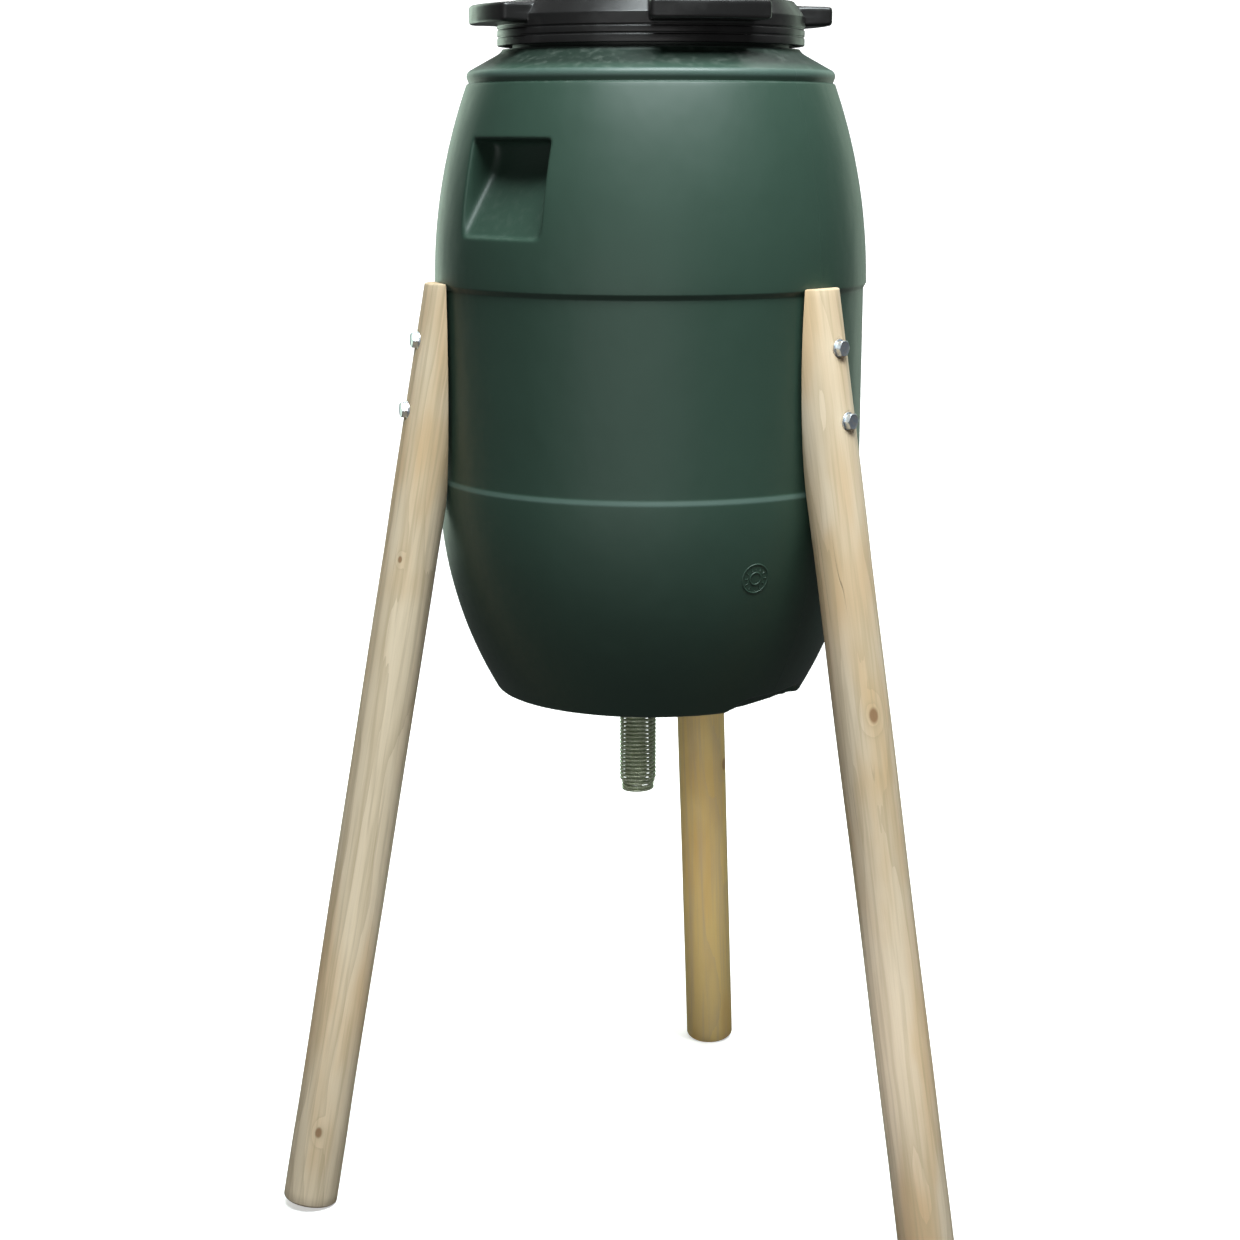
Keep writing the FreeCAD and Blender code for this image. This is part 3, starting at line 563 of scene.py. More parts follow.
GALVANISED = galvanised_finish()
print("finishes:", ZINC.name, PIN_STEEL.name, GALVANISED.name)

# %% [markdown]
# ## Studio paint
# The floor glows a little, so that it stays pale where no lamp reaches it. The surround only glows, so
# it shows one even tone.

# %% Floor and surround finishes
FLOOR_GLOW = 0.55
FLOOR_PAINT = Finish("studio_floor")
FLOOR_TONE = FLOOR_PAINT.mix(FLOOR_PAINT.noise(3, 3), (0.86, 0.86, 0.85), (0.89, 0.89, 0.88))
floor.data.materials.append(FLOOR_PAINT.done(
    base_color=FLOOR_TONE, roughness=0.75, emission_color=FLOOR_TONE, emission_strength=FLOOR_GLOW))
surround.data.materials.append(Finish("pale_surround").done(
    base_color=(0, 0, 0), roughness=1.0, emission_color=SURROUND_TONE, emission_strength=1.0))
print("studio paint:", FLOOR_PAINT.material.name, surround.data.materials[0].name)

# %% [markdown]
# ## Meshes from rows of points
# Most pieces here are rings of points stacked along an outline, so one helper turns a block of rows
# and columns into quads. It closes the block round its columns, and can close its rows as well.


# %% Mesh helpers
SHARP = math.radians(32)


def new_piece(name, mesh, body, finish, stands_for=()):
    """Puts a mesh in the scene, riding on a body, with its finish and the nodes it stands for."""
    piece = add_object(name, mesh)
    piece.data.materials.append(finish)
    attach(piece, body)
    if stands_for:
        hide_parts(*stands_for)
    return piece


def rows_mesh(name, rows, close_rows=False, caps=False, sharp=SHARP):
    """Mesh of quads from an array of rows x columns x 3; columns always close into a ring."""
    count, around = rows.shape[:2]
    index = np.arange(count * around).reshape(count, around)
    low = index if close_rows else index[:-1]
    high = np.roll(index, -1, axis=0) if close_rows else index[1:]
    quads = np.stack([low, np.roll(low, -1, axis=1), np.roll(high, -1, axis=1), high], axis=-1)
    faces = quads.reshape(-1, 4).tolist()
    if caps:
        faces.append(index[0, ::-1].tolist())
        faces.append(index[-1].tolist())
    return smooth_mesh(name, rows.reshape(-1, 3).tolist(), faces, sharp)


print("mesh helpers ready")


# %% Outline helpers
def bow(start, end, bulge, steps):
    """Points of an arc that rises by bulge outside the line between two (radius, height) points."""
    start, end = np.array(start, float), np.array(end, float)
    chord = end - start
    length = np.linalg.norm(chord)
    outward = np.array([chord[1], -chord[0]]) / length
    radius = (length ** 2 / 4 + bulge ** 2) / (2 * bulge)
    half = math.asin(length / 2 / radius)
    turns = np.linspace(-half, half, steps)
    along = (np.sin(turns) * radius + length / 2)[:, None] * chord / length
    return start + along + ((np.cos(turns) - math.cos(half)) * radius)[:, None] * outward


def rounded(corners, steps=5):
    """Outline through (radius, height, rounding) corners, with an arc at each rounded corner."""
    points = [np.array(c[:2], float) for c in corners]
    made = [points[0]]
    for before, here, after, corner in zip(points, points[1:], points[2:], corners[1:]):
        rounding = corner[2] if len(corner) > 2 else 0
        to_before, to_after = before - here, after - here
        reach = min(np.linalg.norm(to_before), np.linalg.norm(to_after)) * 0.45
        cut = min(rounding, reach)
        if cut <= 0:
            made.append(here)
            continue
        first = here + to_before / np.linalg.norm(to_before) * cut
        last = here + to_after / np.linalg.norm(to_after) * cut
        for share in np.linspace(0, 1, steps):
            made.append((1 - share) ** 2 * first + 2 * share * (1 - share) * here + share ** 2 * last)
    return np.array(made + [points[-1]])


def spaced(outline, step):
    """The same outline with extra points, so that none are further apart than step."""
    made = [outline[0]]
    for before, here in zip(outline, outline[1:]):
        pieces = max(1, math.ceil(np.linalg.norm(here - before) / step))
        made += [before + (here - before) * k / pieces for k in range(1, pieces + 1)]
    return np.array(made)


def lathe(outline, turns, centre=(AXIS_X, AXIS_Y)):
    """Rows of points made by turning a (radius, height) outline to each angle, in radians from +X."""
    r, z = outline[:, 0][:, None], outline[:, 1][:, None]
    flat = np.ones_like(turns)
    return np.stack([centre[0] + r * np.cos(turns), centre[1] + r * np.sin(turns), z * flat], axis=-1)


print("outline helpers ready")

# %% [markdown]
# ## Pockets, notches and lugs without cutters
# A boolean cut leaves a knife-sharp edge, but blown and moulded plastic has none: every edge is a
# small round. So a pocket is a distance field here. Each grid point slides straight along the
# pocket's own direction until it meets the plastic, and the largest of the distances, taken softly,
# rounds every edge and corner at once. Grid lines are packed closely where the walls are steep.

# %% Sliding points onto a field
HALVINGS = 26                   # halves the search until it is far finer than a hair


def soft_max(first, second, size):
    """The larger of two distances, with a round of about this size where they are equal."""
    share = np.clip(0.5 + 0.5 * (first - second) / size, 0, 1)
    return second + (first - second) * share + size * share * (1 - share)


def slide(points, inward, field, before, beyond):
    """Moves points along inward to where field turns negative, which is inside the plastic."""
    low = np.full(len(points), -before)
    high = np.full(len(points), beyond)
    for _ in range(HALVINGS):
        middle = (low + high) / 2
        outside = field(points + middle[:, None] * inward) > 0
        low = np.where(outside, middle, low)
        high = np.where(outside, high, middle)
    return points + ((low + high) / 2)[:, None] * inward


def local_frame(azimuth):
    """Unit vectors at an azimuth: outward and across."""
    out = np.array(heading(azimuth))
    return out, np.array([-out[1], out[0], 0.0])


def local_places(points, azimuth):
    """Outward, across and height of points, from the barrel's axis."""
    out, across = local_frame(azimuth)
    from_axis = points - np.array([AXIS_X, AXIS_Y, 0.0])
    return from_axis @ out, from_axis @ across, points[:, 2]


print("field helpers ready")

# %% [markdown]
# ## The barrel's outline
# Two long bows make the domes, and a nearly straight band lies between them, a few millimetres
# further in, so the upper dome overhangs the band and the lower dome makes a small ledge. Heights are
# given over the foot, and radii as insets from the belly, just as the mould maker would list them.

# %% Barrel outline
SPRING_HOLE_R = 28.3 * MM
PANEL_R, PANEL_RISE = 118 * MM, 10 * MM
RING_IN_R, RING_OUT_R = 128 * MM, 140 * MM
HEEL_R, HEEL_RISE = 147 * MM, 4.5 * MM
LEDGE = (BELLY_R - 1.6 * MM, FOOT_Z + 202 * MM)
BAND_LOW = (BELLY_R - 3.2 * MM, FOOT_Z + 206.5 * MM)
BAND_HIGH = (BELLY_R - 2.5 * MM, FOOT_Z + 378.5 * MM)
BELLY = (BELLY_R, FOOT_Z + 383 * MM)
LOWER_BULGE, UPPER_BULGE = 14 * MM, 7.9 * MM
SHOULDER = (168.4 * MM, FOOT_Z + 561 * MM)
GROOVE = (166.2 * MM, FOOT_Z + 562.1 * MM)
BEAD = (168 * MM, FOOT_Z + 566.5 * MM)
BEAD_TOP = (168 * MM, FOOT_Z + 570.5 * MM)
SLOPE_TOP = (165 * MM, FOOT_Z + 573.5 * MM)
SLOPE_FOOT = (139 * MM, FOOT_Z + 588 * MM)
COLLAR_R = 136 * MM
COLLAR_Z, COLLAR_TOP_Z = FOOT_Z + 591 * MM, FOOT_Z + 592 * MM
NECK_R, MOUTH_R = 126 * MM, 119 * MM
GRIP_LOW_Z, GRIP_HIGH_Z = FOOT_Z + 429 * MM, FOOT_Z + 514 * MM
NOTCH_TOP_Z = FOOT_Z + 13 * MM


print(f"hand pockets from {GRIP_LOW_Z:.3f} to {GRIP_HIGH_Z:.3f} m over the ground")


# %% Outside of the wall
def heights(low, high, step):
    """Evenly spread heights from low to high, no further apart than step."""
    return np.linspace(low, high, max(2, math.ceil((high - low) / step) + 1))


def at_heights(curve, wanted):
    """Points of a rising curve at the wanted heights."""
    return [(np.interp(z, curve[:, 1], curve[:, 0]), z) for z in wanted]


def barrel_outside():
    """Outside of the wall, from the spring's hole to the mouth."""
    lower = bow((HEEL_R, FOOT_Z + HEEL_RISE), LEDGE, LOWER_BULGE, 200)
    upper = bow(BELLY, SHOULDER, UPPER_BULGE, 200)
    low_rows = np.concatenate([heights(FOOT_Z + 5 * MM, FOOT_Z + 18 * MM, 1 * MM),
                               heights(FOOT_Z + 21 * MM, LEDGE[1] - 6 * MM, 8 * MM)])
    high_rows = np.concatenate([
        heights(BELLY[1] + 6 * MM, GRIP_LOW_Z - 12 * MM, 8 * MM),
        heights(GRIP_LOW_Z - 9 * MM, GRIP_LOW_Z + 8 * MM, 1.1 * MM),
        heights(GRIP_LOW_Z + 11 * MM, GRIP_HIGH_Z - 16 * MM, 3 * MM),
        heights(GRIP_HIGH_Z - 14 * MM, GRIP_HIGH_Z + 5 * MM, 1.0 * MM),
        heights(GRIP_HIGH_Z + 8 * MM, SHOULDER[1] - 4 * MM, 6 * MM)])
    corners = [
        (SPRING_HOLE_R, FOOT_Z + PANEL_RISE),
        (PANEL_R, FOOT_Z + PANEL_RISE, 2 * MM),
        (RING_IN_R, FOOT_Z, 1.5 * MM),
        *bow((RING_OUT_R, FOOT_Z), (HEEL_R, FOOT_Z + HEEL_RISE), 1.44 * MM, 7),
        *at_heights(lower, low_rows),
        (*LEDGE, 0.9 * MM),
        (*BAND_LOW, 0.9 * MM),
        (*BAND_HIGH, 0.9 * MM),
        (*BELLY, 0.9 * MM),
        *at_heights(upper, high_rows),
        (*SHOULDER, 0.8 * MM),
        (*GROOVE, 0.7 * MM),
        *bow(BEAD, SLOPE_TOP, 1.35 * MM, 9),
        (*SLOPE_FOOT, 2 * MM),
        (COLLAR_R, COLLAR_Z, 0.6 * MM),
        (COLLAR_R, COLLAR_TOP_Z, 0.5 * MM),
        (NECK_R, COLLAR_TOP_Z, 1.5 * MM),
        *[(NECK_R, z) for z in heights(COLLAR_TOP_Z + 1.5 * MM, RIM_Z - 1.4 * MM, 0.7 * MM)],
        (NECK_R, RIM_Z, 1.2 * MM),
        (MOUTH_R, RIM_Z, 1 * MM),
    ]
    return spaced(rounded(corners), 9 * MM)


outside = barrel_outside()
print("outside points:", len(outside))


# %% Inside of the wall
def barrel_inside():
    """Inside of the wall, from the mouth back to the spring's hole."""
    lower = bow((HEEL_R - 2.6 * MM, FOOT_Z + 6 * MM), (LEDGE[0] - WALL, LEDGE[1]), LOWER_BULGE, 200)
    upper = bow((BELLY[0] - WALL, BELLY[1]), (SHOULDER[0] - 2.37 * MM, SHOULDER[1] - 2.16 * MM),
                UPPER_BULGE, 200)
    low_rows = np.concatenate([heights(FOOT_Z + 9 * MM, FOOT_Z + 22 * MM, 1.6 * MM),
                               heights(FOOT_Z + 30 * MM, LEDGE[1] - 8 * MM, 16 * MM)])
    high_rows = np.concatenate([
        heights(BELLY[1] + 8 * MM, GRIP_LOW_Z - 14 * MM, 10 * MM),
        heights(GRIP_LOW_Z - 10 * MM, GRIP_HIGH_Z - 8 * MM, 5 * MM),
        heights(GRIP_HIGH_Z - 6 * MM, GRIP_HIGH_Z + 8 * MM, 1.4 * MM),
        heights(GRIP_HIGH_Z + 12 * MM, SHOULDER[1] - 8 * MM, 9 * MM)])
    corners = [
        (SPRING_HOLE_R, FOOT_Z + PANEL_RISE + WALL),
        (PANEL_R + 1.2 * MM, FOOT_Z + PANEL_RISE + WALL, 2 * MM),
        (RING_IN_R + 1.2 * MM, FOOT_Z + WALL, 2 * MM),
        (RING_OUT_R - 0.6 * MM, FOOT_Z + WALL, 2 * MM),
        *at_heights(lower, low_rows),
        (LEDGE[0] - WALL, LEDGE[1]),
        (BAND_LOW[0] - WALL, BAND_LOW[1]),
        (BAND_HIGH[0] - WALL, BAND_HIGH[1]),
        *at_heights(upper, high_rows),
        (SHOULDER[0] - 2.37 * MM, SHOULDER[1] - 2.16 * MM, 2 * MM),
        (GROOVE[0] - 3.84 * MM, GROOVE[1] - 1.44 * MM, 1.2 * MM),
        (BEAD[0] - WALL, BEAD[1] + 0.6 * MM, 1 * MM),
        (BEAD_TOP[0] - WALL, BEAD_TOP[1] - 1.2 * MM, 1 * MM),
        (SLOPE_TOP[0] - 1.8 * MM, SLOPE_TOP[1] - 2.4 * MM, 1.5 * MM),
        (SLOPE_FOOT[0] - 1.8 * MM, SLOPE_FOOT[1] - 2.4 * MM, 2 * MM),
        (COLLAR_R - WALL, COLLAR_Z - 2.7 * MM, 1 * MM),
        (COLLAR_R - WALL, COLLAR_TOP_Z - WALL, 2 * MM),
        (NECK_R - WALL, COLLAR_TOP_Z - WALL, 2 * MM),
        (NECK_R - WALL, RIM_Z - WALL, 1 * MM),
        (MOUTH_R, RIM_Z - WALL, 0.8 * MM),
        (MOUTH_R, RIM_Z - 0.5 * MM),
    ]
    return spaced(rounded(corners, 3), 18 * MM)[::-1]


inside = barrel_inside()
print("inside points:", len(inside))

# %% [markdown]
# ## The barrel
# Around the axis the grid is also uneven: coarse over the plain wall, fine at the sides of the two
# hand pockets and the two base notches. The pockets and notches are then slid in, the thread is
# raised on the neck, and the mould's parting line stands an eighth of a millimetre proud.

# %% Barrel grid lines
GRIP_AZIMUTHS = (-31.2, 148.8)
GRIP_HALF = 49 * MM
GRIP_BACK_R = BELLY_R - 49.8 * MM
GRIP_MOUTH_R = BELLY_R - 9.8 * MM
GRIP_FLOOR_RISE = 62 * MM
GRIP_LINE_R = 190 * MM          # radius where the grid lines beside a pocket are spaced
NOTCH_AZIMUTHS = (63.5, 243.5)
NOTCH_HALF = 42 * MM             # at the notch's ceiling
NOTCH_RAMP = 14 / 13            # run of its sloping ends for each unit of height
NOTCH_BACK_R = RING_OUT_R - 11 * MM
NOTCH_LINE_R = 142 * MM
PARTING_AZIMUTHS = (60.3, 240.3)
# Where the grid lines lie beside a pocket's or a notch's side, in millimetres.
WALL_STEPS = [-14, -11.5, -9.5, -8, -6.6, -5.4, -4.4, -3.6, -2.9, -2.3, -1.7, -1.1, -0.5, 0.1,
              0.8, 1.6, 2.6, 4, 6, 9]
NOTCH_STEPS = [-6, -4, -2, -0.7, 0.7, 2, 3.5, 5, 6.5, 8, 9.5, 11, 12.5, 14, 16, 19]


def lines_beside(azimuth, half, steps, radius, inner_step):
    """Azimuths of grid lines for a pocket: packed at its two sides, even in its middle."""
    side = [half + s * MM for s in steps]
    middle = np.arange(0, side[0] - inner_step / 2, inner_step)
    across = np.array(sorted({*side, *middle, *[-s for s in side], *[-m for m in middle]}))
    return azimuth + np.degrees(np.arcsin(across / radius))


def barrel_lines():
    """Azimuths of all grid lines, in degrees."""
    special = []
    for azimuth in GRIP_AZIMUTHS:
        special.append(lines_beside(azimuth, GRIP_HALF, WALL_STEPS, GRIP_LINE_R, 5 * MM))
    for azimuth in NOTCH_AZIMUTHS:
        special.append(lines_beside(azimuth, NOTCH_HALF, NOTCH_STEPS, NOTCH_LINE_R, 6 * MM))
    plain = [a for a in np.arange(-60, 300, 3.0)
             if not any(lines[0] - 1.5 < a < lines[-1] + 1.5 for lines in special)]
    parting = [azimuth + offset for azimuth in PARTING_AZIMUTHS
               for offset in (-0.45, -0.22, -0.1, 0, 0.1, 0.22, 0.45)]
    made = np.sort(np.concatenate([*special, plain, parting]))
    return made[np.append(True, np.diff(made) > 0.06)]


LINES = barrel_lines()
print("grid lines:", len(LINES))


# %% Steered grid lines
def steer(azimuths, radius, z, centre, line_r, low_z, high_z):
    """Bends grid lines so that beside a pocket they run straight up instead of leaning in."""
    offset = (azimuths - centre + 180) % 360 - 180
    near = np.clip((32 - np.abs(offset)) / 12, 0, 1)
    level = np.clip(1 - np.maximum(low_z - z, z - high_z) / (60 * MM), 0, 1)
    sine = np.clip(line_r * np.sin(np.radians(np.clip(offset, -60, 60))) / radius, -0.95, 0.95)
    return azimuths + (np.degrees(np.arcsin(sine)) - offset) * near * level


print("grid lines can be steered")


# %% Pocket and notch fields
def grip_field(points, azimuth, grow, wall_r):
    """Distance outside the plastic round one hand pocket; grow moves every wall of the pocket out."""
    out, across, z = local_places(points, azimuth)
    slope = math.atan2(GRIP_MOUTH_R - GRIP_BACK_R, GRIP_FLOOR_RISE)
    floor = (GRIP_MOUTH_R - out) * math.cos(slope) - (z - GRIP_LOW_Z) * math.sin(slope)
    draft = 0.05
    back = GRIP_BACK_R - out
    side = np.abs(across) - GRIP_HALF + draft * (BELLY_R - out)
    top = z - GRIP_HIGH_Z + draft * (BELLY_R - out)
    pocket = soft_max(soft_max(floor, back, 6 * MM), GRIP_LOW_Z - z, 2 * MM)
    pocket = soft_max(pocket, soft_max(side, top, 5 * MM), 9 * MM) - grow
    wall = np.hypot(out, across) - np.interp(z, *wall_r)
    return soft_max(wall, -pocket, 3.5 * MM)


def notch_field(points, azimuth, grow, wall_r):
    """Distance outside the plastic round one base notch."""
    out, across, z = local_places(points, azimuth)
    back = NOTCH_BACK_R - out
    side = np.abs(across) - NOTCH_HALF - NOTCH_RAMP * (NOTCH_TOP_Z - z)
    side /= math.hypot(1, NOTCH_RAMP)
    notch = soft_max(soft_max(back, z - NOTCH_TOP_Z, 5 * MM), side, 6 * MM) - grow
    wall = np.maximum(np.hypot(out, across) - np.interp(z, *wall_r), FOOT_Z + max(grow, 0) - z)
    return soft_max(wall, -notch, 2 * MM)


print("pocket and notch fields ready")


# %% Carving the wall
def carve(rows, outline, grow):
    """Slides the pockets and the notches into a grid of wall points."""
    flat = rows.reshape(-1, 3)
    rising = outline[np.argsort(outline[:, 1], kind="stable")]
    dome = rising[(rising[:, 1] > GRIP_LOW_Z - 30 * MM) & (rising[:, 1] < GRIP_HIGH_Z + 25 * MM)]
    heel = rising[(rising[:, 0] > RING_OUT_R - 2 * MM) & (rising[:, 1] < FOOT_Z + 60 * MM)]
    for azimuth in GRIP_AZIMUTHS:
        out, across, z = local_places(flat, azimuth)
        near = (out > 0) & (np.abs(across) < GRIP_HALF + 8 * MM + grow) \
            & (z > GRIP_LOW_Z - 9 * MM - grow) & (z < GRIP_HIGH_Z + 7 * MM + grow)
        inward = -local_frame(azimuth)[0]
        wall_r = (dome[:, 1], dome[:, 0])
        flat[near] = slide(flat[near], inward, lambda p: grip_field(p, azimuth, grow, wall_r),
                           6 * MM, 75 * MM)
    for azimuth in NOTCH_AZIMUTHS:
        out, across, z = local_places(flat, azimuth)
        near = (out > NOTCH_BACK_R - 3 * MM - grow) & (np.abs(across) < NOTCH_HALF + 21 * MM + grow) \
            & (z < NOTCH_TOP_Z + 5 * MM + grow)
        inward = (-local_frame(azimuth)[0] + np.array([0, 0, 1.0])) / math.sqrt(2)
        wall_r = (heel[:, 1], heel[:, 0])
        flat[near] = slide(flat[near], inward, lambda p: notch_field(p, azimuth, grow, wall_r),
                           3 * MM, 30 * MM)
    return flat.reshape(rows.shape)


print("carving ready")

# %% Thread on the neck
THREAD_HEIGHT, THREAD_LEAD, THREAD_TURNS = 5 * MM, 18 * MM, 1.1
THREAD_START_Z = COLLAR_TOP_Z + 7.5 * MM


def thread_height(turn, z):
    """How far the neck's one helical ridge stands out, at an angle from +X in turns and a height."""
    made = np.zeros(np.broadcast(turn, z).shape)
    for lap in (0, 1):
        along = turn % 1.0 + lap
        off = np.abs(z - THREAD_START_Z - along * THREAD_LEAD)
        flank = np.clip((3.2 * MM - off) / (1.7 * MM), 0, 1)
        ends = np.clip(along / 0.04, 0, 1) * np.clip((THREAD_TURNS - along) / 0.04, 0, 1)
        made = np.maximum(made, flank * flank * (3 - 2 * flank) * ends)
    return made * THREAD_HEIGHT


print("thread turns:", THREAD_TURNS)

# %% Barrel mesh
PARTING_HEIGHT, PARTING_HALF = 0.12 * MM, 0.55 * MM
def wall_rows(outline, grow):
    """Grid of points on one side of the barrel's wall."""
    radius, z = outline[:, 0][:, None], outline[:, 1][:, None]
    azimuths = np.broadcast_to(LINES, (len(outline), len(LINES)))
    for centre in GRIP_AZIMUTHS:
        azimuths = steer(azimuths, radius, z, centre, GRIP_LINE_R, GRIP_LOW_Z, GRIP_HIGH_Z)
    turns = np.radians(azimuths - 90)
    radius = np.broadcast_to(radius, turns.shape).copy()
    if grow == 0:
        neck = (radius > NECK_R - 0.01 * MM) & (radius < NECK_R + 0.01 * MM) & (z > COLLAR_TOP_Z)
        radius += neck * thread_height(turns / (2 * math.pi), z)
        for azimuth in PARTING_AZIMUTHS:
            away = np.radians((azimuths - azimuth + 180) % 360 - 180) * radius
            proud = np.exp(-(away / PARTING_HALF) ** 2) * PARTING_HEIGHT
            radius += proud * (z < COLLAR_TOP_Z - 2 * MM) * (radius > PANEL_R)
    rows = np.stack([AXIS_X + radius * np.cos(turns), AXIS_Y + radius * np.sin(turns),
                     np.broadcast_to(z, turns.shape)], axis=-1)
    beside_hole = np.clip((PANEL_R - 8 * MM - radius) / (PANEL_R - 8 * MM - SPRING_HOLE_R), 0, 1)
    beside_hole *= z < FOOT_Z + 20 * MM
    rows[..., 0] += (SPRING_X - AXIS_X) * beside_hole
    rows[..., 1] += (SPRING_Y - AXIS_Y) * beside_hole
    return carve(rows, outline, grow)


barrel_rows = np.concatenate([wall_rows(outside, 0.0), wall_rows(inside, WALL)])
barrel_mesh = rows_mesh("barrel_skin", barrel_rows, close_rows=True, sharp=math.radians(70))
new_piece("barrel_skin", barrel_mesh, "feeder", GREEN_PLASTIC, ["barrel"])
print("barrel faces:", len(barrel_mesh.polygons))

# %% [markdown]
# ## A mark in the mould
# Blow moulds carry a small insert that leaves a raised dial low on the wall. A plain ring with a
# centre button and twelve ticks stands for it here. Each vertex is laid on the wall by its height and
# azimuth, so the dial follows the dome.

# %% Mould dial
DIAL_AZIMUTH, DIAL_Z = 40.7, FOOT_Z + 133 * MM
DIAL_R = 13 * MM
DIAL_HEIGHT, DIAL_SINK = 0.7 * MM, 0.1 * MM
DIAL_TICKS = 12
DIAL_RIDGE, BUTTON_RIDGE = 1.8 * MM, 1.6 * MM
BUTTON_R = DIAL_R * 0.42
TICK_LOW_R, TICK_HIGH_R = DIAL_R * 0.62, DIAL_R * 0.84
TICK_WIDTH, TICK_HEIGHT = 1.2 * MM, 0.5 * MM


def on_wall(across, up, out):
    """Points on the barrel's outside, given offsets across and up from the dial's middle."""
    dome = outside[(outside[:, 1] > FOOT_Z + 20 * MM) & (outside[:, 1] < LEDGE[1])]
    height = DIAL_Z + up
    radius = np.interp(height, dome[:, 1], dome[:, 0]) + out
    turn = math.radians(DIAL_AZIMUTH - 90) + across / radius
    return np.stack([AXIS_X + radius * np.cos(turn), AXIS_Y + radius * np.sin(turn), height], axis=-1)


def ridge_ring(radius, width, height, steps):
    """Grid of a low rounded ridge round the dial."""
    turns = np.linspace(0, 2 * math.pi, steps, endpoint=False)[:, None]
    section = np.linspace(0, math.pi, 9)[None, :]
    reach = radius + np.cos(section) * width / 2
    return on_wall(reach * np.cos(turns), reach * np.sin(turns), np.sin(section) * height - DIAL_SINK)


def ridge_bar(turn, low, high, width, height):
    """Grid of a low rounded bar that points away from the dial's middle."""
    along = np.linspace(low, high, 5)[:, None]
    section = np.linspace(0, math.pi, 9)[None, :]
    side = np.cos(section) * width / 2
    across = along * math.cos(turn) - side * math.sin(turn)
    up = along * math.sin(turn) + side * math.cos(turn)
    return on_wall(across, up, np.sin(section) * height - DIAL_SINK)


print("dial ridges ready")


# %% Mould dial mesh
def dial_mesh():
    """All ridges of the dial as one mesh."""
    ridges = [(ridge_ring(DIAL_R, DIAL_RIDGE, DIAL_HEIGHT, 64), True),
              (ridge_ring(BUTTON_R, BUTTON_RIDGE, DIAL_HEIGHT, 40), True)]
    ticks = [2 * math.pi * k / DIAL_TICKS for k in range(DIAL_TICKS)]
    ridges += [(ridge_bar(turn, TICK_LOW_R, TICK_HIGH_R, TICK_WIDTH, TICK_HEIGHT), False) for turn in ticks]
    verts, faces = [], []
    for grid, closed in ridges:
        first = len(verts)
        count, across = grid.shape[:2]
        verts += grid.reshape(-1, 3).tolist()
        for i in range(count if closed else count - 1):
            for j in range(across):
                a, b = first + i * across, first + (i + 1) % count * across
                faces.append((a + j, b + j, b + (j + 1) % across, a + (j + 1) % across))
        if not closed:
            faces.append(tuple(range(first + across - 1, first - 1, -1)))
            faces.append(tuple(range(first + (count - 1) * across, first + count * across)))
    return smooth_mesh("mould_dial", verts, faces)


new_piece("mould_dial", dial_mesh(), "feeder", GREEN_PLASTIC)
print("dial at azimuth", DIAL_AZIMUTH, "height", round(DIAL_Z, 3))

# %% [markdown]
# ## The screw ring
# The ring is a turned section with four broad lugs that a hand or a bar can push on. Moulded lugs
# flow out of the ring with a small fillet and have a round on every edge. So the same sliding field
# is used as for the pockets, only that here the lug adds to the ring instead of cutting into it.

# %% Screw ring section
ring_low, ring_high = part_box("lid_ring")
RING_LOW_Z, RING_TOP_Z = ring_low.z, ring_high.z
RING_R, RING_BORE_R = 140 * MM, 133 * MM
RING_SHOULDER_Z = RING_TOP_Z - 13.5 * MM
RING_TOP_R = RING_R - 10 * MM
RING_FLANGE_R = MOUTH_R - 4 * MM
RING_FLANGE_LOW_Z = RING_TOP_Z - 3.7 * MM
LUG_OUT_R = RING_R + 25.5 * MM
LUG_HIGH_Z, LUG_LOW_Z = RING_TOP_Z - 3 * MM, RING_TOP_Z - 21 * MM
LUG_AZIMUTHS = [31.5 + 90 * k for k in range(4)]        # four, evenly spaced
LUG_HALF = 20.25                # degrees
FLANGE_ROOT_R = 129.34 * MM     # where the flange meets the sloping wall, inside
BORE_TOP_Z = RING_SHOULDER_Z + 4.86 * MM
SLOPE_RISE = 1.35               # rise of the sloping wall for each unit inwards
SLOPE_SHARES = (0.1, 0.25, 0.4, 0.52, 0.6, 0.66, 0.71, 0.75, 0.78, 0.81, 0.85, 0.9)
GROOVE_RISES = (6.5, 13.5)


